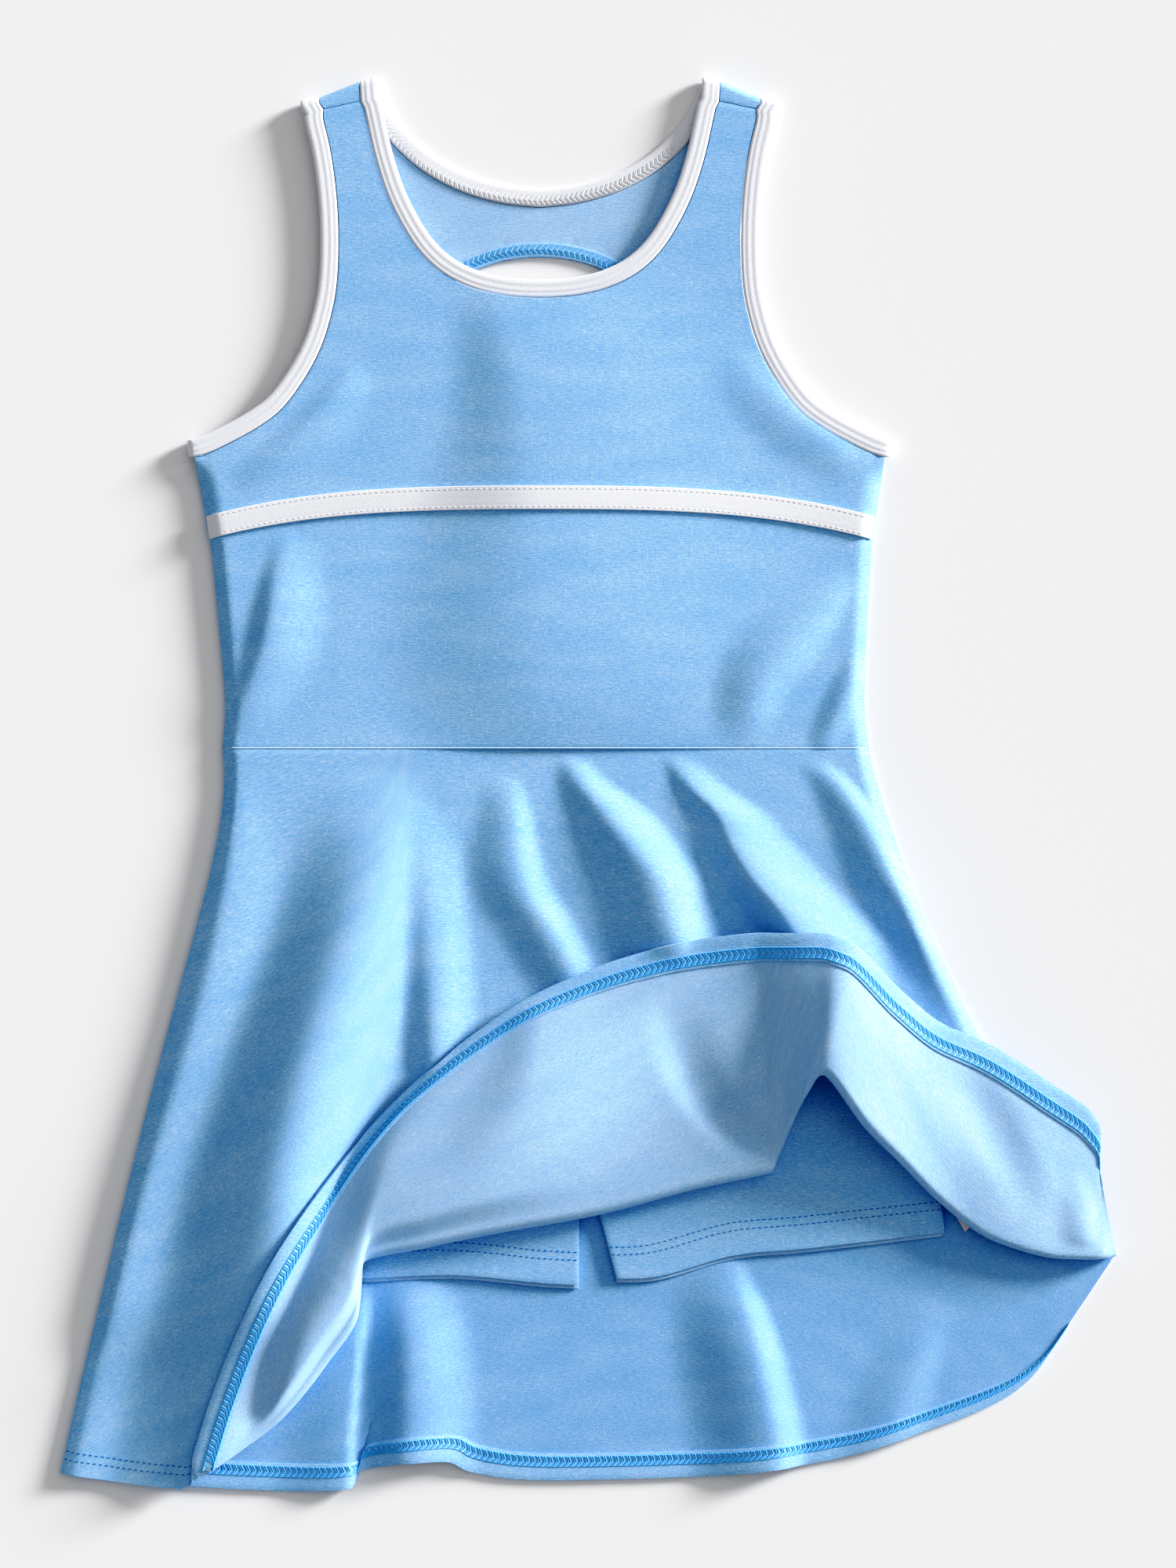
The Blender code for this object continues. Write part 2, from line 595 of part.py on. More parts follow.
def binding_ring(name, front, back, turns, finish, collection):
    """A folded band round an opening: front and back edges joined by two half turns."""
    rails = []
    for edge in (0, 1):
        line = [Vector((p.x, p.y, FRONT_TOP_Z)) for p in front[edge]]
        line += rolled(front[edge][-1], turns[1], BACK_BINDING_Z, FRONT_TOP_Z, SHOULDER_STEPS)
        line += [Vector((p.x, p.y, BACK_BINDING_Z)) for p in back[edge]]
        last = rolled(front[edge][0], turns[0], BACK_BINDING_Z, FRONT_TOP_Z, SHOULDER_STEPS)
        line += last[::-1] + [line[0].copy()]
        rails.append(line)
    middle = [one.lerp(other, 0.5) for one, other in zip(rails[0], rails[1])]
    sheet(name, [[rails[0], middle, rails[1]]], BINDING_THICK, finish, collection)


def build_neck_binding(white, collection):
    """Band round the neck, front and back."""
    up = (0.0, 1.0)
    ends = []
    for side in (-1, 1):
        near = placed((SHOULDER_TOP_NECK[0] - SEAM_GAP, SHOULDER_TOP_NECK[1]), side)
        ends.append((near, placed(NECK_FRONT[0], side)))
    paths = []
    for table, steps, shoulder in ((NECK_FRONT, YOKE_STEPS[2], SHOULDER_SEAM_NECK),
                                   (NECK_BACK, BACK_STEPS[2], SHOULDER_TOP_NECK)):
        left, right = (neck_edge(table, side, shoulder, steps) for side in (-1, 1))
        path = left + right[::-1][1:]
        if table is NECK_FRONT:
            path = [placed(SHOULDER_TOP_NECK, -1)] + path + [placed(SHOULDER_TOP_NECK, 1)]
        paths.append(path)
    front = band_edges(paths[0], 1, ends[0], ends[1])
    back = band_edges(paths[1][::-1], -1, ends[1], ends[0])
    binding_ring("neck_binding", front, back, (up, up), white, collection)


def build_armhole_binding(side, label, white, collection):
    """Band round one armhole, over the shoulder and round the underarm."""
    top = (placed((SHOULDER_TOP_ARM[0] + SEAM_GAP, SHOULDER_TOP_ARM[1]), side),
           placed(ARMHOLE_FRONT[0], side))
    underarm = (placed((BODICE_SIDE[0][0] - SEAM_GAP, UNDERARM_Y), side),
                placed(ARMHOLE_FRONT[-1], side))
    front = arm_edge(ARMHOLE_FRONT, side, SHOULDER_SEAM_ARM, YOKE_STEPS[0])
    front = band_edges([placed(SHOULDER_TOP_ARM, side)] + front, side, top, underarm)
    back = arm_edge(ARMHOLE_BACK, side, SHOULDER_TOP_ARM, BACK_STEPS[0])
    back = band_edges(back[::-1], -side, underarm, top)
    binding_ring("armhole_binding_" + label, front, back, ((0.0, 1.0), (side, 0.0)), white,
                 collection)


def build_tape(white, collection):
    """The flat tape stitched over the chest seam."""
    rails = []
    for drop in (TAPE_WIDTH / 2, 0.0, -TAPE_WIDTH / 2):
        rail = []
        for step in range(TAPE_STEPS + 1):
            half = side_half_width(CHEST_SEAM_Y - CHEST_SEAM_DROP + drop) - SEAM_GAP
            x = centre_x(CHEST_SEAM_Y) + half * (2 * step / TAPE_STEPS - 1)
            y = chest_seam_y(x) + drop
            lift = CLOTH / 2 + SEAM_GAP + TAPE_CLOTH / 2
            rail.append(Vector((x, y, bodice_front_z(x, y) + lift)))
        rails.append(rail)
    sheet("chest_tape", [rails], TAPE_CLOTH, white, collection)


def skirt_column(row, share):
    """One line of the front skirt's cloth from the waist over the fold to the hem."""
    waist_x, fold_x, fold_y, radius, turn, end_x, end_y, crest_z, end_z = row
    lower_rows, turn_rows, upper_rows = FRONT_SKIRT_ROWS
    fold = Vector((fold_x, fold_y))
    end = Vector((end_x, end_y))
    start = Vector((waist_x, SKIRT_TOP_Y))
    ahead = (fold - start).normalized()
    back = (end - fold).normalized()
    turned = math.radians(turn)
    arc_base = fold - ahead * radius * math.sin(min(turned, math.pi / 2))
    left_weight = ease(1 - share / LEFT_REACH)
    right_weight = ease(1 - (1 - share) / RIGHT_REACH)
    left_start, left_end = left_side(0.0), left_side(1.0)
    right_start, right_end = right_side(0.0), right_side(1.0)
    points = []
    for step in range(lower_rows + 1):
        t = step / lower_rows
        point = start.lerp(arc_base, t)
        point += (left_side(t) - left_start.lerp(left_end, t)) * left_weight
        point += (right_side(t) - right_start.lerp(right_end, t)) * right_weight
        points.append(Vector((point.x, point.y, skirt_front_z(point.x, point.y))))
    low_z = points[-1].z
    rest = (end - fold).length
    for step in range(1, turn_rows + 1):
        angle = turned * step / turn_rows
        if turn == 0:
            plan = fold.lerp(end, FLAT_SHARE * step / turn_rows)
            height = skirt_front_z(plan.x, plan.y)
        elif angle <= math.pi / 2:
            plan = arc_base + ahead * radius * math.sin(angle)
            height = low_z + radius * (1 - math.cos(angle))
        else:
            plan = fold + back * radius * (1 - math.sin(angle))
            height = low_z + radius * (1 - math.cos(angle))
        points.append(Vector((plan.x, plan.y, height)))
    turn_end = points[-1].copy()
    for step in range(1, upper_rows + 1):
        t = step / upper_rows
        plan = turn_end.to_2d().lerp(end, t)
        if turn == 0:
            height = skirt_front_z(plan.x, plan.y)
        elif turn < 180:
            height = turn_end.z + rest * CURL_RISE * t
        else:
            c = CREST_PLACE
            height = (turn_end.z * (t - c) * (t - 1) / c + crest_z * t * (1 - t) / (c * (1 - c))
                      + end_z * t * (t - c) / (1 - c))
            floor = skirt_front_z(plan.x, plan.y) + FLAP_CLEARANCE
            gap = height - floor
            height = floor + 0.5 * (gap + math.sqrt(gap * gap + 1.0)) if gap < 4.0 else height
        points.append(Vector((plan.x, plan.y, height)))
    return points


def skirt_sections():
    """The front skirt's sections as flat lists of sizes, each with its share of the way."""
    flat = [[row[1], *row[2], row[3], row[4], *row[5], row[6], row[7]] for row in FRONT_SKIRT]
    last = len(flat) - 1
    sections = []
    for place, row in enumerate(flat):
        sections.append((row, place / last))
        if FRONT_SKIRT[place][0] == 2:
            middle = [(a + b) / 2 for a, b in zip(row, flat[place + 1])]
            sections.append((middle, (place + 0.5) / last))
    return sections


def build_front_skirt(blue, collection):
    """Front skirt, whose lower part is turned up over itself."""
    lines = [skirt_column(row, share) for row, share in skirt_sections()]
    rails = [list(rail) for rail in zip(*lines)]
    sheet("skirt_front", [rails], CLOTH, blue, collection)


def build_back_skirt(blue, collection):
    """Back skirt, which lies on the table."""
    left_x, right_x = BACK_SKIRT_LINES[0], BACK_SKIRT_LINES[-1]
    shares = [(x - left_x) / (right_x - left_x) for x in BACK_SKIRT_LINES]
    curve = spline(BACK_HEM)
    top = []
    hem = []
    for x, share in zip(BACK_SKIRT_LINES, shares):
        top.append(Vector((LEFT_WAIST_X + (RIGHT_WAIST_X - LEFT_WAIST_X) * share, SKIRT_TOP_Y,
                           0.0)))
        place = 1
        while place < len(curve) - 1 and curve[place][0] < x:
            place += 1
        before, after = curve[place - 1], curve[place]
        y = before[1] + (after[1] - before[1]) * (x - before[0]) / (after[0] - before[0])
        hem.append(Vector((x, y, 0.0)))
    left = [left_side(share).to_3d() for share in BACK_SKIRT_ROWS]
    left[-1] = hem[0]
    right = []
    for share in BACK_SKIRT_ROWS:
        if share <= VENT_PLACE:
            right.append(right_side(share / VENT_PLACE).to_3d())
        else:
            below = (share - VENT_PLACE) / (1 - VENT_PLACE)
            right.append(Vector((*RIGHT_VENT, 0.0)).lerp(hem[-1], below))
    rails = patch(top, hem, left, right, skirt_back_z, BACK_SKIRT_ROWS)
    sheet("skirt_back", [rails], CLOTH, blue, collection)


def build_shorts(blue, collection):
    """The built-in shorts, a front and a back for each leg."""
    seam = along(spline(CENTRE_SEAM), SHORTS_STEPS[0])
    for label, side in (("left", -1), ("right", 1)):
        leg = SHORTS_LEGS[label]
        inner = seam + along(spline(leg["inner"]), SHORTS_STEPS[1])[1:]
        inner = [Vector((p.x + side * SEAM_GAP / 2, p.y, 0.0)) for p in inner]
        outer = [p.to_3d() for p in along(spline(leg["outer"]), sum(SHORTS_STEPS))]
        hem = [p.to_3d() for p in along(spline(leg["hem"]), SHORTS_COLUMNS)]
        left, right = (outer, inner) if side < 0 else (inner, outer)
        hem[0], hem[-1] = left[-1], right[-1]
        top = [left[0].lerp(right[0], step / SHORTS_COLUMNS)
               for step in range(SHORTS_COLUMNS + 1)]
        length = SKIRT_TOP_Y - hem[0].y
        for face, level, shorter in (("front", SHORTS_FRONT_Z, FRONT_LEG_STEP),
                                     ("back", SHORTS_BACK_Z, 0.0)):
            rails = patch(top, hem, left, right, lambda x, y, level=level: level)
            for point in (p for rail in rails for p in rail):
                point.y += shorter * ease((SKIRT_TOP_Y - point.y) / length)
            sheet("shorts_" + face + "_" + label, [rails], SHORTS_CLOTH, blue, collection)


def build_label(paper, collection):
    """The care label in the side seam of the shorts."""
    start = SHORTS_LEGS["right"]["outer"][-1][0] + 2 * SEAM_GAP
    rails = [[Vector((start + LABEL_WIDTH * place / 3, y, SHORTS_BACK_Z)) for place in range(4)]
             for y in (LABEL_LOW_Y, LABEL_HIGH_Y)]
    sheet("care_label", [rails], SHORTS_CLOTH, paper, collection)


def build_dress():
    """Clear the scene and put the dress together."""
    for old in list(bpy.data.objects):
        bpy.data.objects.remove(old, do_unlink=True)
    dress = bpy.data.collections.new("athletic_dress")
    cutters = bpy.data.collections.new("cutters")
    bpy.context.scene.collection.children.link(dress)
    bpy.context.scene.collection.children.link(cutters)
    blue = material("heather_blue_jersey", (0.16, 0.39, 0.79), 0.9)
    inside = material("jersey_wrong_side", (0.30, 0.51, 0.84), 0.92)
    white = material("pale_binding", (0.77, 0.79, 0.87), 0.75)
    paper = material("label_satin", (0.85, 0.83, 0.83), 0.5)
    build_yoke(blue, dress)
    build_lower_front(blue, dress)
    cut_back_opening(build_back(blue, dress), cutters)
    build_neck_binding(white, dress)
    build_armhole_binding(-1, "left", white, dress)
    build_armhole_binding(1, "right", white, dress)
    build_tape(white, dress)
    build_front_skirt(blue, dress)
    build_back_skirt(blue, dress)
    build_shorts(inside, dress)
    build_label(paper, dress)


build_dress()
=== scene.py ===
"""A child's athletic dress of heathered jersey, laid flat with its front hem turned up.

The dress lies face up on a pale table. Sizes are in millimetres and become metres where a
point goes into a mesh. X runs across the dress, Y from hem to neck and Z up off the table.
"""

import math

import bmesh
import bpy
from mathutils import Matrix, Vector


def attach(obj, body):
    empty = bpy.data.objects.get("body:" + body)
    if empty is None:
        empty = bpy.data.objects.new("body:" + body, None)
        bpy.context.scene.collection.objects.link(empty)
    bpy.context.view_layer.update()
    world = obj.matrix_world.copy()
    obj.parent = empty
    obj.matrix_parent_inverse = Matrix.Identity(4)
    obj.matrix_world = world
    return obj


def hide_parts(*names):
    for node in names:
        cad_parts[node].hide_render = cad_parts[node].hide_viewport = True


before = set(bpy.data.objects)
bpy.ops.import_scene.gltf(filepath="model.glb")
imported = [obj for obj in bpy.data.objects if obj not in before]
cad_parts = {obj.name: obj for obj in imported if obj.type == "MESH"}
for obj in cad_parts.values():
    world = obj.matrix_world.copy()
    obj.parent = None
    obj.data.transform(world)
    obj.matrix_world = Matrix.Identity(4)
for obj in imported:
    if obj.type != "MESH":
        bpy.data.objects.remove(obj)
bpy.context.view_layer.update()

# Yoke: the upper front, cut from blue melange jersey, from the shoulder seams and the neck
# down to the chest seam. Its neck and armhole edges lie against the bands sewn over them.
MM = 0.001
SEAM_GAP = 0.3
JERSEY = 1.0
BAND_WIDTH = 7.6
FRONT_TOP_Z = 4.8
FRONT_WAIST_Z = 5.0
FRONT_LIFT_Y = 260.0
SIDE_SEAM_Z = 2.1
SIDE_ROLL = 5.0
ROLL_FADE = 12.0
WAIST_Y = 15.6
UNDERARM_Y = 137.8
WAIST_CENTRE_X = -17.7
UNDERARM_CENTRE_X = -20.3
CHEST_SEAM_Y = 120.5
CHEST_SEAM_DROP = 12.6
CHEST_HALF_WIDTH = 140.0
NECK_FRONT = [
    # half width, y
    (68.3, 295.2), (65.3, 280.8), (61.5, 264.3), (55.8, 247.8), (46.9, 231.8),
    (37.5, 222), (26, 216), (13, 213), (0, 212.2),
]
ARMHOLE_FRONT = [
    # half width, y
    (100.5, 285), (95.3, 264.3), (92.5, 240), (92.6, 215), (95.4, 198),
    (101.2, 182), (112, 165.4), (122, 157), (136, 149.2), (145.4, 145),
]
BODICE_SIDE = [
    # half width, y
    (145.2, UNDERARM_Y), (143.6, 130.0), (141.2, 115.8), (138.8, 99.3), (137.4, 82.8),
    (135.6, 58), (134.3, 33.3), (135.8, WAIST_Y),
]
SHOULDER_SEAM_NECK = (75.6, 287.0)
SHOULDER_SEAM_ARM = (90.6, 283.8)
END_CLEAR = 2.0
CORNER_CLEAR = 4.0
WELD = 0.00001
YOKE_COLUMNS = 54
YOKE_STEPS = (62, 12, 38, 36)
BODICE_CREASES = {
    "middle": [
        # x, y, height, width on the left, width on the right
        (-38, 212, 0.4, 24, 60), (-33, 194, 2, 28, 84), (-28, 172, 3.2, 34, 104),
        (-24, 148, 3.8, 44, 116), (-21, 122, 4.2, 56, 122), (-19, 94, 4.7, 68, 124),
        (-18, 60, 4.8, 76, 124), (-17, 32, 3.4, 70, 120), (-16, 10, 0.5, 60, 110),
    ],
    "left_waist": [
        (-124, 106, 0, 8, 18), (-129, 90, 1.6, 9, 22), (-132, 76, 2.8, 9, 26),
        (-135, 60, 3.1, 9, 26), (-140, 46, 2.4, 8, 22), (-145, 33, 1.2, 6, 18),
        (-149, 22, 0, 5, 12),
    ],
    "right_side": [
        (110, 88, 0, 12, 6), (103, 79, 1.3, 16, 9), (94, 69, 2.4, 20, 13),
        (84, 59, 3.2, 22, 16), (75, 49, 3.2, 22, 16), (69, 38, 2.5, 20, 15), (65, 24, 0.8, 16, 14),
        (64, 16, 0, 12, 12),
    ],
    "right_waist": [
        (116, 56, 0, 8, 5), (113, 48, 1.2, 9, 8), (107, 34, 2.1, 10, 9), (100, 21, 1.1, 9, 8),
        (97, 14, 0, 8, 8),
    ],
    "left_armhole": [
        (-96, 176, 0, 8, 12), (-104, 164, 1.1, 10, 16), (-118, 149, 1.5, 10, 18),
        (-134, 136, 1.1, 9, 14), (-148, 126, 0, 8, 10),
    ],
    "right_armhole": [
        (58, 182, 0, 14, 10), (70, 168, 1, 18, 12), (88, 152, 1.5, 20, 12),
        (106, 139, 1, 16, 9), (118, 130, 0, 12, 8),
    ],
}


def spline(points, pieces=12):
    """Points of a smooth curve through the given ones, close together."""
    ends = [points[0]] + list(points) + [points[-1]]
    curve = []
    for before, start, stop, after in zip(ends, ends[1:], ends[2:], ends[3:]):
        for step in range(pieces):
            t = step / pieces
            curve.append(tuple(
                0.5 * (2 * b + (c - a) * t + (2 * a - 5 * b + 4 * c - d) * t ** 2
                       + (3 * b - a - 3 * c + d) * t ** 3)
                for a, b, c, d in zip(before, start, stop, after)))
    curve.append(tuple(points[-1]))
    return curve


def along(curve, count):
    """Points evenly spaced along a curve."""
    lengths = [0.0]
    for one, other in zip(curve, curve[1:]):
        lengths.append(lengths[-1] + math.dist(one, other))
    picked = []
    place = 1
    for step in range(count + 1):
        goal = lengths[-1] * step / count
        while place < len(lengths) - 1 and lengths[place] < goal:
            place += 1
        span = lengths[place] - lengths[place - 1]
        share = (goal - lengths[place - 1]) / span if span else 0.0
        picked.append(Vector(curve[place - 1]).lerp(Vector(curve[place]), share))
    return picked


def smooth_line(points, count):
    """Points evenly spaced on the smooth curve through the given ones, all at height nought."""
    return [p.to_3d() for p in along(spline(points), count)]


def raised(points, z):
    """The same points at another height."""
    return [Vector((p[0], p[1], z)) for p in points]


def straight(start, stop, count):
    """Points evenly spaced on a straight line."""
    return [start.lerp(stop, step / count) for step in range(count + 1)]


def level(left_x, right_x, y, count):
    """Points evenly spaced across the dress, all at one height up it."""
    return [Vector((left_x + (right_x - left_x) * step / count, y, 0.0))
            for step in range(count + 1)]


def offset(curve, distance):
    """The curve moved sideways, to the left of its own direction."""
    moved = []
    for place, point in enumerate(curve):
        before = curve[max(place - 1, 0)]
        after = curve[min(place + 1, len(curve) - 1)]
        ahead = Vector((after[0] - before[0], after[1] - before[1])).normalized()
        moved.append((point[0] - ahead.y * distance, point[1] + ahead.x * distance))
    return moved


def ease(value):
    """Nought to one, smoothly."""
    value = min(max(value, 0.0), 1.0)
    return value * value * (3 - 2 * value)


def smooth_folds(folds):
    """Each fold's table with smooth rows put between its own."""
    return [spline(table, 8) for table in folds.values()]


def fold_height(folds, x, y):
    """Height that the folds add at a place, each with a left and a right flank."""
    total = 0.0
    for rows in folds:
        if y > rows[0][0] or y < rows[-1][0]:
            continue
        low, high = 0, len(rows) - 1
        while high - low > 1:
            middle = (low + high) // 2
            if rows[middle][0] >= y:
                low = middle
            else:
                high = middle
        upper, lower = rows[low], rows[high]
        share = (upper[0] - y) / (upper[0] - lower[0])
        crest, height, left, right = (a + (b - a) * share for a, b in zip(upper[1:], lower[1:]))
        away = min(abs(x - crest) / (left if x < crest else right), 1.0)
        total += height * 0.5 * (1 + math.cos(math.pi * away))
    return total


def crease_height(creases, x, y):
    """Height that the creases add at a place. Each runs any way, with its own two flanks."""
    total = 0.0
    for rows in creases:
        nearest = None
        for start, stop in zip(rows, rows[1:]):
            along_x, along_y = stop[0] - start[0], stop[1] - start[1]
            share = ((x - start[0]) * along_x + (y - start[1]) * along_y) / (
                along_x * along_x + along_y * along_y)
            share = min(max(share, 0.0), 1.0)
            gap_x, gap_y = x - start[0] - along_x * share, y - start[1] - along_y * share
            gap = gap_x * gap_x + gap_y * gap_y
            if nearest is None or gap < nearest[0]:
                nearest = (gap, start, stop, share, along_x * gap_y - along_y * gap_x)
        gap, start, stop, share, side = nearest
        height, left, right = (a + (b - a) * share for a, b in zip(start[2:], stop[2:]))
        away = min(math.sqrt(gap) / (right if side > 0 else left), 1.0)
        total += height * 0.5 * (1 + math.cos(math.pi * away))
    return total


def centre_x(y):
    """The bodice's centre line."""
    share = min(max((y - WAIST_Y) / (UNDERARM_Y - WAIST_Y), 0.0), 1.0)
    return WAIST_CENTRE_X + (UNDERARM_CENTRE_X - WAIST_CENTRE_X) * share


def sided(half, side):
    """A half outline placed left (side -1) or right (side 1) of the centre line."""
    return [(centre_x(y) + side * width, y) for width, y in half]


def placed(pair, side):
    """A half width and height put left or right of the centre line."""
    return Vector((centre_x(pair[1]) + side * pair[0], pair[1]))


def chest_seam_y(x):
    """Height up the bodice of the chest seam, which drops towards the sides."""
    share = abs(x - UNDERARM_CENTRE_X) / CHEST_HALF_WIDTH
    return CHEST_SEAM_Y - CHEST_SEAM_DROP * share ** 3


def side_half_width(y):
    """Half width of the bodice at a height, below the underarm."""
    for upper, lower in zip(BODICE_SIDE, BODICE_SIDE[1:]):
        if y >= lower[1]:
            share = (upper[1] - y) / (upper[1] - lower[1])
            return upper[0] + (lower[0] - upper[0]) * share
    return BODICE_SIDE[-1][0]


bodice_creases = [spline(table, 3) for table in BODICE_CREASES.values()]


def bodice_front_z(x, y):
    """Middle of the front bodice above the table."""
    lift = ease((FRONT_LIFT_Y - y) / (FRONT_LIFT_Y - WAIST_Y))
    level = (FRONT_TOP_Z + (FRONT_WAIST_Z - FRONT_TOP_Z) * lift
             + crease_height(bodice_creases, x, y))
    if y >= UNDERARM_Y:
        return level
    inside = side_half_width(y) - abs(x - centre_x(y))
    roll = (1 - ease(inside / SIDE_ROLL)) * ease((UNDERARM_Y - y) / ROLL_FADE)
    return level - (level - SIDE_SEAM_Z) * roll


def patch(top, bottom, left, right, height):
    """Rails that fill four edges: top and bottom run across, left and right run down."""
    columns = len(top) - 1
    rows = len(left) - 1
    rails = []
    for row in range(rows + 1):
        v = row / rows
        rail = []
        for column in range(columns + 1):
            u = column / columns
            across = left[row].lerp(right[row], u)
            down = top[column].lerp(bottom[column], v)
            corners = top[0].lerp(top[-1], u).lerp(bottom[0].lerp(bottom[-1], u), v)
            point = across + down - corners
            rail.append(Vector((point.x, point.y, height(point.x, point.y))))
        rails.append(rail)
    return rails


def neck_edge(table, side, shoulder, steps):
    """Cloth edge of half a neckline, from the shoulder to the centre line."""
    first = placed(shoulder, side)
    edge = offset(spline(sided(table, side)), side * (BAND_WIDTH + SEAM_GAP))
    edge = [first] + [Vector(p) for p in edge if p[1] < first.y - END_CLEAR]
    edge[-1].x = centre_x(edge[-1].y)
    return along(edge, steps)


def arm_edge(table, side, shoulder, steps):
    """Cloth edge of an armhole, from the shoulder to the underarm."""
    first = placed(shoulder, side)
    corner = placed((BODICE_SIDE[0][0] - SEAM_GAP, UNDERARM_Y - SEAM_GAP), side)
    edge = offset(spline(sided(table, side)), -side * (BAND_WIDTH + SEAM_GAP))
    edge = [Vector(p) for p in edge
            if p[1] < first.y - END_CLEAR and abs(p[0] - corner.x) > CORNER_CLEAR]
    return along([first] + edge + [corner], steps)


def half_panel(tables, side, shoulder, base, steps):
    """Outer and inner edges of half a bodice panel, both from the shoulder to the base."""
    neck = neck_edge(tables[0], side, shoulder[0], steps[2])
    arm = arm_edge(tables[1], side, shoulder[1], steps[0])
    flank = [placed(pair, side) for pair in BODICE_SIDE[1:] if pair[1] > base[0].y + CORNER_CLEAR]
    flank = [arm[-1]] + flank + [base[0]]
    outer = arm + along(flank, steps[1])[1:]
    inner = neck + along([neck[-1], base[1]], steps[3])[1:]
    return outer, inner


def half_grid(outer, inner, side, base, height):
    """Rails of half a panel, each from left to right, down to the points of its base."""
    columns = len(base) - 1
    left, right = (outer, inner) if side < 0 else (inner, outer)
    bottom = base if side < 0 else base[::-1]
    top = straight(left[0], right[0], columns)
    flat = [[p.to_3d() for p in rail] for rail in (top, bottom, left, right)]
    return patch(*flat, height)


def srgb(code):
    """A colour written as hex, as the linear values that a shader takes."""
    values = []
    for place in (1, 3, 5):
        value = int(code[place:place + 2], 16) / 255
        values.append(value / 12.92 if value <= 0.04045 else ((value + 0.055) / 1.055) ** 2.4)
    return (*values, 1.0)


def node(tree, kind, links=(), **settings):
    """A node with its settings. Links pair one of its inputs with an output that feeds it."""
    made = tree.nodes.new(kind)
    for name, value in settings.items():
        if name.startswith("in_"):
            made.inputs[int(name[3:])].default_value = value
        else:
            setattr(made, name, value)
    for place, source in links:
        tree.links.new(source, made.inputs[place])
    return made


def dye(tree, shader, source, *stops):
    """The shader's base colour over a texture's values. Each stop is a place and a colour."""
    made = node(tree, "ShaderNodeValToRGB", [(0, source)])
    elements = made.color_ramp.elements
    for element, stop in zip(elements, (stops[0], stops[-1])):
        element.position, element.color = stop
    for place, colour in stops[1:-1]:
        elements.new(place).color = colour
    tree.links.new(made.outputs[0], shader.inputs["Base Color"])


def plain_material(name, colour, **values):
    """A new material, its node tree and its shader, with plain values on the shader."""
    made = bpy.data.materials.new(name)
    made.use_nodes = True
    made.diffuse_color = srgb(colour)
    shader = made.node_tree.nodes["Principled BSDF"]
    for socket, value in values.items():
        shader.inputs[socket.replace("_", " ")].default_value = value
    return made, made.node_tree, shader


def relief(tree, shader, source, strength, depth):
    """Bump from a texture's values, that many millimetres deep."""
    bump = node(tree, "ShaderNodeBump", [(3, source)], in_0=strength, in_1=depth * MM)
    tree.links.new(bump.outputs[0], shader.inputs["Normal"])


def melange_jersey(name, dark, middle, light):
    """Brushed cotton and polyester jersey, knitted from a yarn of white and blue fibres.

    The fibres show as fine streaks along the courses, two to five millimetres long, over a
    finer speckle. The brushed face is matt, with a soft sheen where it turns away. The
    streaks are drawn 0.55 mm high, about twice a real course, so that they show at all.
    """
    made, tree, shader = plain_material(name, middle, Roughness=0.92, Specular_IOR_Level=0.25,
                                        Sheen_Weight=0.25, Sheen_Roughness=0.45,
                                        Sheen_Tint=srgb("#DCEBFA"))
    grain = node(tree, "ShaderNodeUVMap", uv_map="grain")
    marks = []
    for length, height, detail, strength in (
            # mm, mm, octaves and how strong the finer ones are
            (3.4, 0.55, 3, 0.6), (1.1, 0.5, 2, 0.5), (38, 11, 2, 0.5)):
        at = node(tree, "ShaderNodeMapping", [(0, grain.outputs[0])],
                  in_3=(1 / (length * MM), 1 / (height * MM), 1.0))
        marks.append(node(tree, "ShaderNodeTexNoise", [(0, at.outputs[0])], in_2=1.0,
                          in_3=detail, in_4=strength).outputs[0])
    streak, speck, cloud = marks
    fine = node(tree, "ShaderNodeMix", [(2, streak), (3, speck)], data_type="FLOAT", in_0=0.5)
    mixed = node(tree, "ShaderNodeMix", [(2, fine.outputs[0]), (3, cloud)], data_type="FLOAT",
                 in_0=0.16)
    dye(tree, shader, mixed.outputs[0], (0.34, srgb(dark)), (0.5, srgb(middle)),
        (0.66, srgb(light)))
    relief(tree, shader, fine.outputs[0], 0.35, 0.3)
    return made


jersey_face = melange_jersey("melange_jersey_face", "#72AAE3", "#90BFEE", "#B9D9F8")
jersey_back = melange_jersey("melange_jersey_back", "#86B4E3", "#A0C6EE", "#C0DBF6")
# The same back in darker tones, for the back skirt: painted shade, the shadow that the raised
# front skirt casts over it.
jersey_back_painted_shade = melange_jersey("melange_jersey_back_painted_shade", "#689FD8", "#84B2E5",
                                 "#A6CAF0")
jersey = (jersey_face, jersey_back)


def grid(shape, rails):
    """A grid of faces through the rails' points. Gives each vertex with its row and column."""
    columns = len(rails[0]) - 1
    rows = len(rails) - 1
    made = bmesh.ops.create_grid(shape, x_segments=columns, y_segments=rows, size=0.5)
    placed_verts = []
    for vert in made["verts"]:
        column = round((vert.co.x + 0.5) * columns)
        row = round((vert.co.y + 0.5) * rows)
        vert.co = rails[row][column] * MM
        placed_verts.append((vert, row, column))
    return placed_verts


def put(name, data):
    """A new object in the scene, at the origin."""
    made = bpy.data.objects.new(name, data)
    bpy.context.scene.collection.objects.link(made)
    return made


def finished(name, shape, finishes):
    """An object from the shape that was built, smooth and in its materials."""
    mesh = bpy.data.meshes.new(name)
    shape.to_mesh(mesh)
    shape.free()
    for finish in finishes:
        mesh.materials.append(finish)
    mesh.shade_smooth()
    return put(name, mesh)


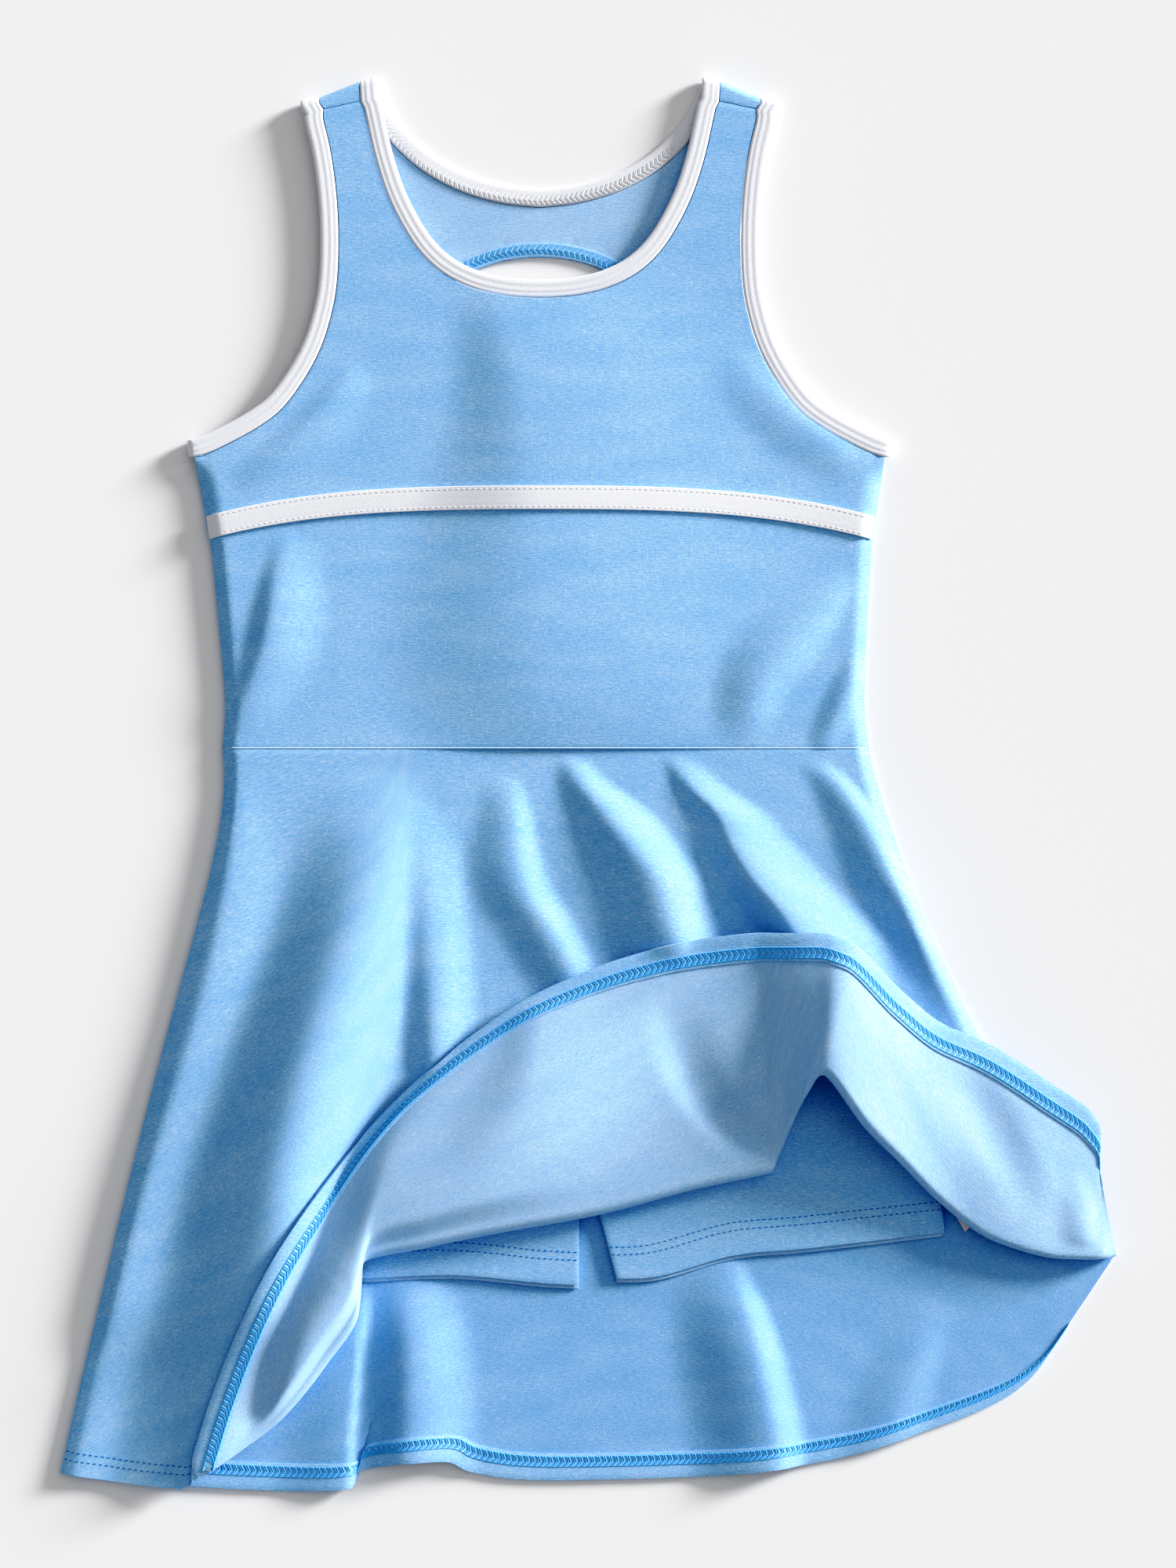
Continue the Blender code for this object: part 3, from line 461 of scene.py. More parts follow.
def cloth(name, grids, thick, finishes, face_up, grains=None):
    """A shell of cloth through grids of points, with its knit's grain as a UV map in metres.

    The first finish is the cloth's face and the second its back. The face looks up where the
    rows run towards the hem and face_up is true.
    """
    shape = bmesh.new()
    layer = shape.loops.layers.uv.new("grain")
    for place, rails in enumerate(grids):
        for vert, row, column in grid(shape, rails):
            grain = (grains[place] if grains else rails)[row][column]
            for loop in vert.link_loops:
                loop[layer].uv = (grain[0] * MM, grain[1] * MM)
    bmesh.ops.remove_doubles(shape, verts=shape.verts, dist=WELD)
    if face_up:
        bmesh.ops.reverse_faces(shape, faces=shape.faces)
    made = finished(name, shape, finishes)
    wall = made.modifiers.new("wall", "SOLIDIFY")
    wall.thickness = thick * MM
    wall.offset = 0.0
    wall.material_offset = len(finishes) - 1
    edge = made.modifiers.new("edge", "BEVEL")
    edge.width = 0.3 * thick * MM
    edge.segments = 2
    edge.limit_method = "ANGLE"
    edge.angle_limit = math.radians(55)
    return made


def lay(piece, solid=None):
    """The piece rides on the dress's one body, and stands for a solid where there is one."""
    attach(piece, "root")
    if solid:
        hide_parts(solid)


yoke_grids = []
for side in (-1, 1):
    middle_x = centre_x(CHEST_SEAM_Y)
    corner_x = middle_x + side * CHEST_HALF_WIDTH
    base = [p.to_2d() for p in level(corner_x, middle_x, 0.0, YOKE_COLUMNS)]
    for point in base:
        point.y = chest_seam_y(point.x) + SEAM_GAP / 2
    outer, inner = half_panel((NECK_FRONT, ARMHOLE_FRONT), side,
                              (SHOULDER_SEAM_NECK, SHOULDER_SEAM_ARM),
                              (base[0], base[-1]), YOKE_STEPS)
    yoke_grids.append(half_grid(outer, inner, side, base, bodice_front_z))
yoke = cloth("yoke", yoke_grids, JERSEY, jersey, True)
lay(yoke, "bodice_front_upper")

# Lower front: the same jersey from the chest seam to the waist, cut straight across and
# eased onto the skirt. It creases a little where the waist is narrowest.
LOWER_GRID = (150, 58)
LEFT_WAIST_X = -153.5
RIGHT_WAIST_X = 118.1
WAIST_SEAM_INSET = 0.8
WAIST_SEAM_STEPS = 140
WAIST_SEAM_LIFT = 0.42
WAIST_SEAM_ROUND = 0.4


def object_noise(tree, scale, detail):
    """Fine noise that stays with the piece."""
    place = node(tree, "ShaderNodeTexCoord")
    made = node(tree, "ShaderNodeTexNoise", [(0, place.outputs["Object"])], in_2=scale,
                in_3=detail)
    return made.outputs[0]


def sewing_thread(name, colour):
    """Bulked polyester sewing thread: soft, a little shiny, with its filaments too fine to see."""
    made, tree, shader = plain_material(name, colour, Roughness=0.6, Sheen_Weight=0.2)
    shade = (*(value * 0.82 for value in srgb(colour)[:3]), 1.0)
    dye(tree, shader, object_noise(tree, 1500.0, 1.0), (0.3, shade), (0.6, srgb(colour)))
    return made


def threads(name, lines, radius, finish):
    """Sewing threads of that radius along lines of points, joined in one piece."""
    curve = bpy.data.curves.new(name, "CURVE")
    curve.dimensions = "3D"
    curve.bevel_depth = radius * MM
    curve.bevel_resolution = 0
    curve.use_fill_caps = True
    for line in lines:
        run = curve.splines.new("POLY")
        run.points.add(len(line) - 1)
        for point, at in zip(run.points, line):
            point.co = (*(at * MM), 1.0)
    drawn = put(name, curve)
    bpy.context.view_layer.update()
    mesh = bpy.data.meshes.new_from_object(drawn.evaluated_get(
        bpy.context.evaluated_depsgraph_get()))
    bpy.data.objects.remove(drawn, do_unlink=True)
    mesh.name = name
    mesh.materials.clear()
    mesh.materials.append(finish)
    mesh.shade_smooth()
    return put(name, mesh)


columns, rows = LOWER_GRID
top = []
for step in range(columns + 1):
    x = centre_x(CHEST_SEAM_Y) + CHEST_HALF_WIDTH * (2 * step / columns - 1)
    top.append(Vector((x, chest_seam_y(x) - SEAM_GAP / 2, 0.0)))
waist = level(LEFT_WAIST_X, RIGHT_WAIST_X, WAIST_Y, columns)
edges = []
for side, place in ((-1, 0), (1, -1)):
    flank = [placed(pair, side) for pair in BODICE_SIDE
             if WAIST_Y + 1.0 < pair[1] < top[0].y - CORNER_CLEAR]
    flank = spline([top[place].to_2d()] + flank + [waist[place].to_2d()], 6)
    edges.append([p.to_3d() for p in along(flank, rows)])
lower_front = cloth("lower_front", [patch(top, waist, edges[0], edges[1], bodice_front_z)],
                    JERSEY, jersey, True)
lay(lower_front, "bodice_front_lower")

waist_line = level(LEFT_WAIST_X + WAIST_SEAM_INSET, RIGHT_WAIST_X - WAIST_SEAM_INSET,
                   WAIST_Y - SEAM_GAP / 2, WAIST_SEAM_STEPS)
for point in waist_line:
    point.z = bodice_front_z(point.x, point.y) + WAIST_SEAM_LIFT
waist_seam = threads("waist_seam", [waist_line], WAIST_SEAM_ROUND,
                     sewing_thread("waist_seam_yarn", "#B4D7F6"))
lay(waist_seam)

# Back: one panel that lies face down on the table. Its straps turn over the shoulders to the
# seams on the front, and a rounded hole between the shoulder blades has a turned and
# stitched edge.
BACK_Z = 0.6
SHOULDER_TOP_NECK = (75.9, 293.0)
SHOULDER_TOP_ARM = (92.4, 286.4)
HOLE_CENTRE = Vector((UNDERARM_CENTRE_X, 190.0))
HOLE_HALF_WIDTH = 48.0
HOLE_HALF_HEIGHT = 32.0
UNDER_STRAPS = 1.5
HOLE_STEPS = 160
HOLE_HEM_Z = 1.25
HOLE_HEM_THICK = 0.4
HOLE_HEM_ROWS = (6.2, 4.2, 2.2, 0.1)
HOLE_STITCH_Z = 1.42
HOLE_STITCH_LINES = (1.4, 5.2)
HOLE_STITCH_PITCH = 2.3
HOLE_THREAD = 0.27
NECK_BACK = [
    # half width, y
    (68.3, 295.2), (63, 284), (56.5, 275), (45.5, 265), (31, 257),
    (15, 252.3), (0, 250.6),
]
ARMHOLE_BACK = [
    # half width, y
    (100.5, 285), (94.5, 264.3), (86, 240), (83.5, 215), (87.5, 195),
    (98, 176), (112, 163), (124, 155), (137, 148.7), (145.4, 145),
]
BACK_COLUMNS = 60
BACK_STEPS = (50, 30, 34, 46)
TURN_STEPS = 12
LOOPER_SINK = 0.18
STITCH_BLUE = "#68B8FB"


def rolled(start, outward, low_z, high_z, steps):
    """Points of a half turn from the high layer to the low one, past the start point."""
    radius = (high_z - low_z) / 2
    turn = []
    for step in range(1, steps):
        angle = math.pi * step / steps
        plan = Vector(start[:2]) + Vector(outward) * radius * math.sin(angle)
        turn.append(Vector((plan.x, plan.y, low_z + radius + radius * math.cos(angle))))
    return turn


def looper_lines(low, high, pitch):
    """Threads of a flat cover seam between two lines of points that run side by side.

    Each stitch lays two bent threads side by side, which makes a row of chevrons, and a
    thread runs down each needle line under them.
    """
    length = sum((b - a).length for a, b in zip(low, low[1:]))
    count = 3 * max(int(length / pitch), 2)
    near = along(low, count)
    far = along(high, count)
    sink = (high[0] - low[0]).cross(low[1] - low[0]).normalized() * LOOPER_SINK
    if sink.z > 0:
        sink = -sink
    chevrons = [[near[k], near[k + 2].lerp(far[k + 2], 0.5), far[k]] for k in range(count - 1)
                if k % 3 < 2]
    return chevrons + [[p + sink for p in near], [p + sink for p in far]]


blue_thread = sewing_thread("blue_looper_thread", STITCH_BLUE)

back_grids = []
for side, waist_x in ((-1, LEFT_WAIST_X), (1, RIGHT_WAIST_X)):
    base = [p.to_2d() for p in level(waist_x, centre_x(WAIST_Y), WAIST_Y, BACK_COLUMNS)]
    outer, inner = half_panel((NECK_BACK, ARMHOLE_BACK), side,
                              (SHOULDER_TOP_NECK, SHOULDER_TOP_ARM),
                              (base[0], base[-1]), BACK_STEPS)
    rails = half_grid(outer, inner, side, base, lambda x, y: BACK_Z)
    turn = [rolled(p, (0.0, 1.0), BACK_Z, FRONT_TOP_Z, TURN_STEPS) for p in rails[0]]
    lead = [list(rail) for rail in zip(*turn)]
    ends = [(*placed((seam[0], seam[1] + SEAM_GAP), side), FRONT_TOP_Z)
            for seam in (SHOULDER_SEAM_NECK, SHOULDER_SEAM_ARM)]
    near, far = (ends[1], ends[0]) if side < 0 else (ends[0], ends[1])
    seam = straight(Vector(near), Vector(far), BACK_COLUMNS)
    strap_top = raised(rails[0], FRONT_TOP_Z)
    strap = [[a.lerp(b, share) for a, b in zip(seam, strap_top)] for share in (0.0, 0.33, 0.67)]
    back_grids.append(strap + [strap_top] + lead + rails)
back = cloth("back", back_grids, JERSEY, jersey, False)

shape = bmesh.new()
shape.from_mesh(back.data)


def hole_reach(point):
    """How far out from the hole's centre a point is, with its edge at one."""
    flat = Vector((point.x / MM, point.y / MM)) - HOLE_CENTRE
    return math.hypot(flat.x / HOLE_HALF_WIDTH, flat.y / HOLE_HALF_HEIGHT)


inside = [f for f in shape.faces if f.calc_center_median().z < UNDER_STRAPS * MM
          and hole_reach(f.calc_center_median()) < 1.0]
bmesh.ops.delete(shape, geom=inside, context="FACES")
for vert in shape.verts:
    reach = hole_reach(vert.co)
    if vert.is_boundary and 0.7 < reach < 1.3 and vert.co.z < UNDER_STRAPS * MM:
        centre = Vector((HOLE_CENTRE.x * MM, HOLE_CENTRE.y * MM, vert.co.z))
        vert.co = centre + (vert.co - centre) / reach
shape.to_mesh(back.data)
shape.free()
lay(back, "bodice_back")


def hole_ring(grow, z):
    """A closed line round the hole, that far out from its edge."""
    ring = []
    for step in range(HOLE_STEPS + 1):
        angle = 2 * math.pi * step / HOLE_STEPS
        ring.append(Vector((HOLE_CENTRE.x + (HOLE_HALF_WIDTH + grow) * math.cos(angle),
                            HOLE_CENTRE.y + (HOLE_HALF_HEIGHT + grow) * math.sin(angle), z)))
    return ring


hole_hem = cloth("back_hole_hem", [[hole_ring(grow, HOLE_HEM_Z) for grow in HOLE_HEM_ROWS]],
                 HOLE_HEM_THICK, (jersey_face,), True)
lay(hole_hem)
low, high = (hole_ring(grow, HOLE_STITCH_Z) for grow in HOLE_STITCH_LINES)
hole_stitches = threads("back_hole_stitches", looper_lines(low, high, HOLE_STITCH_PITCH),
                        HOLE_THREAD, blue_thread)
lay(hole_stitches)

# Neck and armhole bands: strips of pale stretch jersey folded over the cut edges and sewn
# down with two needles. The stitches sink into the face in two fine grooves, and inside the
# neck the looper threads show as a white herringbone.
BAND_THICK = 2.0
BACK_BAND_Z = 1.0
BAND_GROOVES = (0.24, 0.56)
GROOVE_DEPTH = 0.26
GROOVE_HALF_WIDTH = 0.055
BAND_ROUND = 16
NECK_STITCH_LINES = (0.10, 0.60)
NECK_STITCH_Z = 1.95
NECK_STITCH_PITCH = 2.2
NECK_THREAD = 0.25


def stretch_binding(name, colour, shade):
    """Fine stretch jersey, bleached nearly white, smooth with a faint blue cast."""
    made, tree, shader = plain_material(name, colour, Roughness=0.8, Specular_IOR_Level=0.3,
                                        Sheen_Weight=0.2)
    rib = object_noise(tree, 1 / (0.55 * MM), 3.0)
    dye(tree, shader, rib, (0.3, srgb(shade)), (0.62, srgb(colour)))
    relief(tree, shader, rib, 0.3, 0.2)
    return made


def dome(share):
    """Height of a rounded strip across its width, one at its middle."""
    return math.sqrt(max(1 - abs(2 * share - 1) ** 5, 0.0))


def band_height(share):
    """Half thickness of a band across its width, domed, with a groove at each needle line."""
    height = BAND_THICK / 2 * (0.18 + 0.82 * dome(share))
    for groove in BAND_GROOVES:
        height -= GROOVE_DEPTH * math.exp(-((share - groove) / GROOVE_HALF_WIDTH) ** 2)
    return height


def band_edges(edge, distance, first, last):
    """Cloth edge and free edge of a band that runs beside the cloth's edge points."""
    near = [Vector(p) for p in offset(edge, distance * SEAM_GAP)]
    free = [Vector(p) for p in offset(edge, distance * (SEAM_GAP + BAND_WIDTH))]
    near[0], free[0] = first
    near[-1], free[-1] = last
    return near, free


def ring_lines(front, back_edges, turns):
    """Closed lines along a band's cloth edge and free edge, over the front and the back."""
    lines = []
    for edge in (0, 1):
        line = raised(front[edge], FRONT_TOP_Z)
        line += rolled(front[edge][-1], turns[1], BACK_BAND_Z, FRONT_TOP_Z, TURN_STEPS)
        line += raised(back_edges[edge], BACK_BAND_Z)
        line += rolled(front[edge][0], turns[0], BACK_BAND_Z, FRONT_TOP_Z, TURN_STEPS)[::-1]
        lines.append(line)
    return lines


def band(name, lines, turn, finish):
    """A closed band with a domed and grooved face, between its two closed lines of points.

    Turn is 1 where the free edge lies to the left of the way the lines run, and -1 if not.
    """
    near, free = lines
    count = len(near)
    middle = [a.lerp(b, 0.5) for a, b in zip(near, free)]
    rails = [[] for _ in range(2 * BAND_ROUND + 1)]
    for place in range(count + 1):
        at = place % count
        ahead = (middle[(at + 1) % count] - middle[at - 1]).normalized()
        across = free[at] - near[at]
        out = ahead.cross(across).normalized() * turn
        for step in range(BAND_ROUND + 1):
            share = 0.5 - 0.5 * math.cos(math.pi * step / BAND_ROUND)
            rails[step].append(near[at] + across * share + out * band_height(share))
        for step in range(1, BAND_ROUND):
            share = 0.5 + 0.5 * math.cos(math.pi * step / BAND_ROUND)
            under = out * dome(share) * BAND_THICK / 2
            rails[BAND_ROUND + step].append(near[at] + across * share - under)
        rails[2 * BAND_ROUND].append(rails[0][-1].copy())
    shape = bmesh.new()
    grid(shape, rails)
    bmesh.ops.remove_doubles(shape, verts=shape.verts, dist=WELD)
    bmesh.ops.recalc_face_normals(shape, faces=shape.faces)
    return finished(name, shape, (finish,))


binding = stretch_binding("stretch_binding", "#EBECF2", "#DFE1E9")
white_thread = sewing_thread("white_looper_thread", "#F2F3FA")

up = (0.0, 1.0)
ends = []
for side in (-1, 1):
    near = placed((SHOULDER_TOP_NECK[0] - SEAM_GAP, SHOULDER_TOP_NECK[1]), side)
    ends.append((near, placed(NECK_FRONT[0], side)))
paths = []
for table, steps, shoulder in ((NECK_FRONT, YOKE_STEPS[2], SHOULDER_SEAM_NECK),
                               (NECK_BACK, BACK_STEPS[2], SHOULDER_TOP_NECK)):
    left, right = (neck_edge(table, side, shoulder, steps) for side in (-1, 1))
    path = left + right[::-1][1:]
    if table is NECK_FRONT:
        path = [placed(SHOULDER_TOP_NECK, -1)] + path + [placed(SHOULDER_TOP_NECK, 1)]
    paths.append(path)
neck_front = band_edges(paths[0], 1, ends[0], ends[1])
neck_back = band_edges(paths[1][::-1], -1, ends[1], ends[0])
neck_lines = ring_lines(neck_front, neck_back, (up, up))
neck_band = band("neck_band", neck_lines, 1, binding)
lay(neck_band, "neck_binding")

inner, outer = (raised([a.lerp(b, share) for a, b in zip(*neck_back)], NECK_STITCH_Z)
                for share in NECK_STITCH_LINES)
neck_stitches = threads("neck_stitches", looper_lines(inner, outer, NECK_STITCH_PITCH),
                        NECK_THREAD, white_thread)
lay(neck_stitches, None)

for side, label in ((-1, "left"), (1, "right")):
    top = (placed((SHOULDER_TOP_ARM[0] + SEAM_GAP, SHOULDER_TOP_ARM[1]), side),
           placed(ARMHOLE_FRONT[0], side))
    underarm = (placed((BODICE_SIDE[0][0] - SEAM_GAP, UNDERARM_Y), side),
                placed(ARMHOLE_FRONT[-1], side))
    front = arm_edge(ARMHOLE_FRONT, side, SHOULDER_SEAM_ARM, YOKE_STEPS[0])
    front = band_edges([placed(SHOULDER_TOP_ARM, side)] + front, side, top, underarm)
    rear = arm_edge(ARMHOLE_BACK, side, SHOULDER_TOP_ARM, BACK_STEPS[0])
    rear = band_edges(rear[::-1], -side, underarm, top)
    arm_lines = ring_lines(front, rear, (up, (side, 0.0)))
    arm_band = band("armhole_band_" + label, arm_lines, side, binding)
    lay(arm_band, "armhole_binding_" + label)

# Chest tape: a flat strip of the same pale jersey with both edges turned in, laid over the
# chest seam and sewn down with a row of fine stitches along each edge.
TAPE_WIDTH = 10.0
TAPE_THICK = 1.0
TAPE_STEPS = 150
TAPE_ROWS = 12
TAPE_LIFT = 1.4
TAPE_DIP = 0.12
TAPE_STITCH_INSET = 1.3
TAPE_STITCH = 2.4
TAPE_STITCH_FILL = 0.72
STITCH_SINK = 0.35
TAPE_STITCH_LIFT = 1.9
TAPE_THREAD = 0.16


def dashes(line, pitch, fill, sink):
    """Separate stitches along a line of points, each one sinking into the cloth at its ends."""
    length = sum((b - a).length for a, b in zip(line, line[1:]))
    count = max(int(length / pitch), 1)
    points = along(line, 4 * count)
    made = []
    for stitch in range(count):
        start, middle, stop = points[4 * stitch], points[4 * stitch + 2], points[4 * stitch + 4]
        start = middle.lerp(start, fill)
        stop = middle.lerp(stop, fill)
        made.append([start - sink, start.lerp(middle, 0.4), middle.lerp(stop, 0.6), stop - sink])
    return made


def tape_line(drop, lift):
    """A line along the chest tape, that far above its middle and off the front's middle."""
    line = []
    for step in range(TAPE_STEPS + 1):
        half = side_half_width(CHEST_SEAM_Y - CHEST_SEAM_DROP + drop) - SEAM_GAP
        x = centre_x(CHEST_SEAM_Y) + half * (2 * step / TAPE_STEPS - 1)
        y = chest_seam_y(x) + drop
        line.append(Vector((x, y, bodice_front_z(x, y) + lift)))
    return line


tape_rails = []
for row in range(TAPE_ROWS + 1):
    share = 2 * row / TAPE_ROWS - 1
    from_row = TAPE_STITCH_INSET - (1 - abs(share)) * TAPE_WIDTH / 2
    dip = TAPE_DIP * math.exp(-(from_row / 0.5) ** 2)
    tape_rails.append(tape_line(-share * TAPE_WIDTH / 2, TAPE_LIFT - dip))
tape = cloth("chest_tape_strip", [tape_rails], TAPE_THICK, (binding,), True)
lay(tape, "chest_tape")
down = Vector((0.0, 0.0, STITCH_SINK))
tape_lines = []
for drop in (TAPE_WIDTH / 2 - TAPE_STITCH_INSET, TAPE_STITCH_INSET - TAPE_WIDTH / 2):
    tape_lines += dashes(tape_line(drop, TAPE_STITCH_LIFT), TAPE_STITCH,
                         TAPE_STITCH_FILL, down)
tape_stitches = threads("chest_tape_stitches", tape_lines, TAPE_THREAD, white_thread)
lay(tape_stitches, None)

# Front skirt: a flared panel of the jersey, hanging in soft folds from the waist seam. Its
# lower part is turned up over itself, so that its paler back shows, and its narrow hem is
# turned in and sewn with two needles.
SKIRT_TOP_Y = WAIST_Y - SEAM_GAP
LEFT_HEM_CORNER = (-221.8, -289.4)
RIGHT_VENT = (221.8, -197.7)
LEFT_HOLLOW = 6.6
LEFT_HOLLOW_PLACE = 0.16
RIGHT_HOLLOW = 12.8
LEFT_REACH = 0.22
RIGHT_REACH = 0.38
FLAP_CLEARANCE = 1.9
SHORTS_HEM_Y = -214.0
HEM_DROP = 0.75
HEM_DROP_LENGTH = 30.0
FOLD_FADE = 6.0
CREST_PLACE = 0.4
FLAT_SHARE = 0.35
REST_SOFTLY_WITHIN = 4.0
CREASE_START = 8.0
CREASE_END = 9.0
SKIRT_ROWS = (96, 14, 52)
COLUMN_WIDTH = 2.7
FRONT_SKIRT = [
    # waist x, fold x, fold y, radius, turned up, end x, end y, crest z, end z
    (-153.5, -220.3, -282.5, 1, 0, -221.8, -289.4, 2.1, 2.1),
    (-147, -213.5, -283.8, 1, 0, -215, -290.6, 2.3, 2.3),
    (-138, -205, -285, 1, 0, -206.5, -291.8, 2.3, 2.3),
    (-122, -191, -287, 1, 0, -192.5, -293.8, 2.3, 2.3),
    (-106, -178.5, -288.2, 1, 0, -180, -295, 2.3, 2.3),
    (-93, -168.8, -289.5, 1, 0, -170.3, -295.6, 2.3, 2.3),
    (-90, -164.6, -290.5, 1, 0.5, -166.5, -292.5, 4, 4),
    (-88, -160, -288.6, 1, 1, -166, -284, 4.6, 5),
    (-84, -145.5, -279, 1.4, 1, -160.6, -265, 7, 7.2),
    (-81.5, -129.4, -266.6, 2.4, 1, -151.8, -241, 9.8, 9),
    (-79, -109.9, -243, 3.6, 1, -133.7, -202, 14, 8.6),
    (-76, -96.6, -221.5, 4.6, 1, -106.5, -162, 16.6, 9),
    (-73.5, -94.6, -200.6, 5, 1, -77.5, -130, 18.4, 9.4),
    (-69.3, -69, -194, 5, 1, -46.2, -103.6, 18, 9.8),
    (-52.8, -38.6, -187.8, 4.8, 1, -19.8, -86.8, 17, 10.4),
    (-33, 3.3, -180.2, 4.4, 1, 16.5, -72, 15.4, 11.4),
    (-8.3, 45.9, -169, 4.2, 1, 42.9, -65.3, 14, 12.8),
    (10.6, 71.5, -163.6, 4, 1, 65, -62.4, 13, 15.2),
    (13.2, 77, -162, 4, 1, 70, -62, 13.2, 15.7),
    (15.6, 79.4, -156.6, 4, 1, 73.2, -61.9, 14.4, 16.1),
    (33, 91, -129.5, 3.8, 1, 95.7, -62, 23.4, 19.6),
    (43.6, 98, -120.6, 3.8, 1, 109.6, -66, 28, 20.6),
    (56.1, 115.8, -142.9, 4.2, 1, 130.7, -86.1, 23.6, 15.4),
    (66, 131.3, -158.4, 4, 1, 146.9, -99.3, 18.5, 11.5),
    (77.6, 148.5, -175.6, 3.4, 1, 169, -109.2, 13.5, 10),
    (92.4, 170.3, -191, 2.7, 1, 193.4, -124.7, 11, 8.5),
    (105, 197, -198.4, 2, 1, 211.3, -137.6, 7.5, 7),
    (111.5, 212, -198.9, 1.8, 1, 215.2, -145.6, 6.2, 6),
    (118.1, 221.8, -197.7, 1.6, 1, 213.8, -157.4, 5.5, 5.5),
]
FRONT_SKIRT_FOLDS = {
    "left_edge": [
        # y, x, height, width of the left flank, width of the right flank
        (4, -147, 0, 6, 14), (-20, -149, 1, 6, 20), (-49, -153, 1.8, 7, 26),
        (-90, -162, 2.2, 8, 28), (-132, -174, 2.4, 9, 28), (-180, -189, 2.2, 9, 24),
        (-214, -198, 1.8, 8, 22), (-250, -207, 1.4, 7, 20), (-320, -224, 1, 6, 18),
    ],
    "left_main": [
        (6, -88, 0, 30, 22), (-12, -87, 2.4, 38, 26), (-26, -89, 4.8, 38, 30),
        (-46, -94, 7.8, 38, 34), (-66, -100, 10, 38, 38), (-86, -107, 11.6, 38, 42),
        (-105, -113, 12.6, 38, 44), (-125, -119, 13.4, 39, 44), (-145, -124, 13.6, 41, 42),
        (-165, -128, 13.6, 43, 38), (-185, -130, 13.4, 45, 36), (-204, -133, 12.8, 46, 34),
        (-224, -138, 11.8, 46, 30), (-244, -145, 10, 46, 26), (-264, -152, 7.6, 46, 22),
        (-300, -164, 4, 40, 16),
    ],
    "centre_left": [
        (-10, -66, 0, 10, 12), (-34, -65, 1.5, 12, 15), (-60, -65, 3.2, 13, 18),
        (-85, -65, 4.2, 14, 20), (-106, -65, 4.4, 14, 20), (-122, -64, 3.2, 13, 18),
        (-145, -62, 0, 10, 16),
    ],
    "centre": [
        (4, -34, 0, 12, 8), (-13, -32, 2.2, 18, 10), (-30, -31, 3.4, 23, 13),
        (-45, -27, 4, 24, 15), (-59, -18, 4.2, 24, 15), (-74, -10, 4, 23, 15),
        (-92, -4, 1.6, 20, 14), (-112, 0, 0, 16, 12),
    ],
    "centre_right": [
        (12, -7, 0, 8, 8), (2, -3, 2.3, 12, 12), (-13, 9, 5, 19, 21), (-26, 19, 6.9, 25, 23),
        (-39, 28, 8, 29, 24), (-52, 32, 8.3, 31, 23), (-66, 36, 7.6, 31, 22),
        (-84, 40, 3.2, 28, 18), (-104, 45, 0, 22, 16),
    ],
    "flute": [
        (12, 36, 0, 7, 12), (0, 43, 2.3, 9, 16), (-13, 56, 4.4, 13, 22), (-26, 62, 6, 15, 28),
        (-39, 70, 7.4, 17, 33), (-52, 81, 9.2, 19, 37), (-66, 90, 10.8, 20, 40),
        (-86, 95, 13.5, 21, 38), (-121, 98, 16.5, 22, 56), (-150, 99, 15.5, 22, 60),
        (-190, 100, 11.5, 22, 60),
    ],
    "right": [
        (10, 96, 0, 10, 6), (0, 105, 1.8, 14, 8), (-13, 114, 3.2, 17, 10),
        (-26, 121, 4.2, 19, 10), (-39, 127, 4.8, 20, 11), (-60, 140, 4.6, 20, 12),
        (-80, 150, 2.6, 18, 11), (-98, 158, 0.8, 16, 11), (-110, 162, 0, 16, 11),
    ],
}
FLAP_CREASES = {
    "roll_crest": [
        # x, y, height, width on the left, width on the right
        (-16, -84, 0, 14, 60), (-19, -102, 1.8, 18, 66), (-22, -122, 3.8, 24, 60),
        (-30, -142, 4.8, 28, 50), (-46, -164, 4.6, 32, 40), (-68, -181, 4.4, 32, 32),
        (-87, -197, 5.2, 28, 26), (-103, -212, 7, 24, 26), (-116, -232, 7.4, 22, 26),
        (-124, -254, 5.8, 18, 20), (-128, -266, 3, 14, 12), (-133, -276, 0, 10, 10),
    ],
    "corner_trough": [
        (35, -92, -0.3, 14, 20), (38, -108, -1.6, 14, 20), (44, -124, -3, 12, 18),
        (53, -137, -3.6, 11, 16), (66, -149, -3, 10, 15), (82, -160, -0.6, 8, 14),
    ],
    "right_dimple": [
        (150, -120, 0, 10, 12), (162, -132, -1.2, 12, 14), (172, -148, -1.6, 13, 15),
        (180, -166, -1, 12, 13), (186, -182, 0, 10, 10),
    ],
    "end_curl": [
        (204, -162, 0, 8, 6), (206, -172, 0.9, 11, 7), (208, -182, 1.6, 13, 8),
        (208, -190, 1.4, 12, 8), (207, -197, 0, 10, 8),
    ],
    "right_ripple": [
        (118, -98, 0, 8, 12), (132, -118, 0.5, 10, 16), (144, -136, 0.7, 12, 16),
        (156, -156, 0.4, 11, 14), (164, -170, 0, 8, 10),
    ],
}
SKIRT_CUT_RADIUS = 222.0
SKIRT_CUT_HALF_ANGLE = math.radians(35)
HEM_DEPTH = 12.0
HEM_NEEDLES = (6.2, 9.6)
HEM_STITCH = 2.5
HEM_STITCH_FILL = 0.6
HEM_BAND_ROWS = (HEM_DEPTH, 9.0, 6.0, 3.0, 0.05)
HEM_BAND_LIFT = 0.28
HEM_BAND_THICK = 0.5
COVER_LINES = (6.2, 10.6)
COVER_LIFT = 1.12
COVER_PITCH = 2.5
COVER_THREAD = 0.33
NEEDLE_THREAD = 0.2


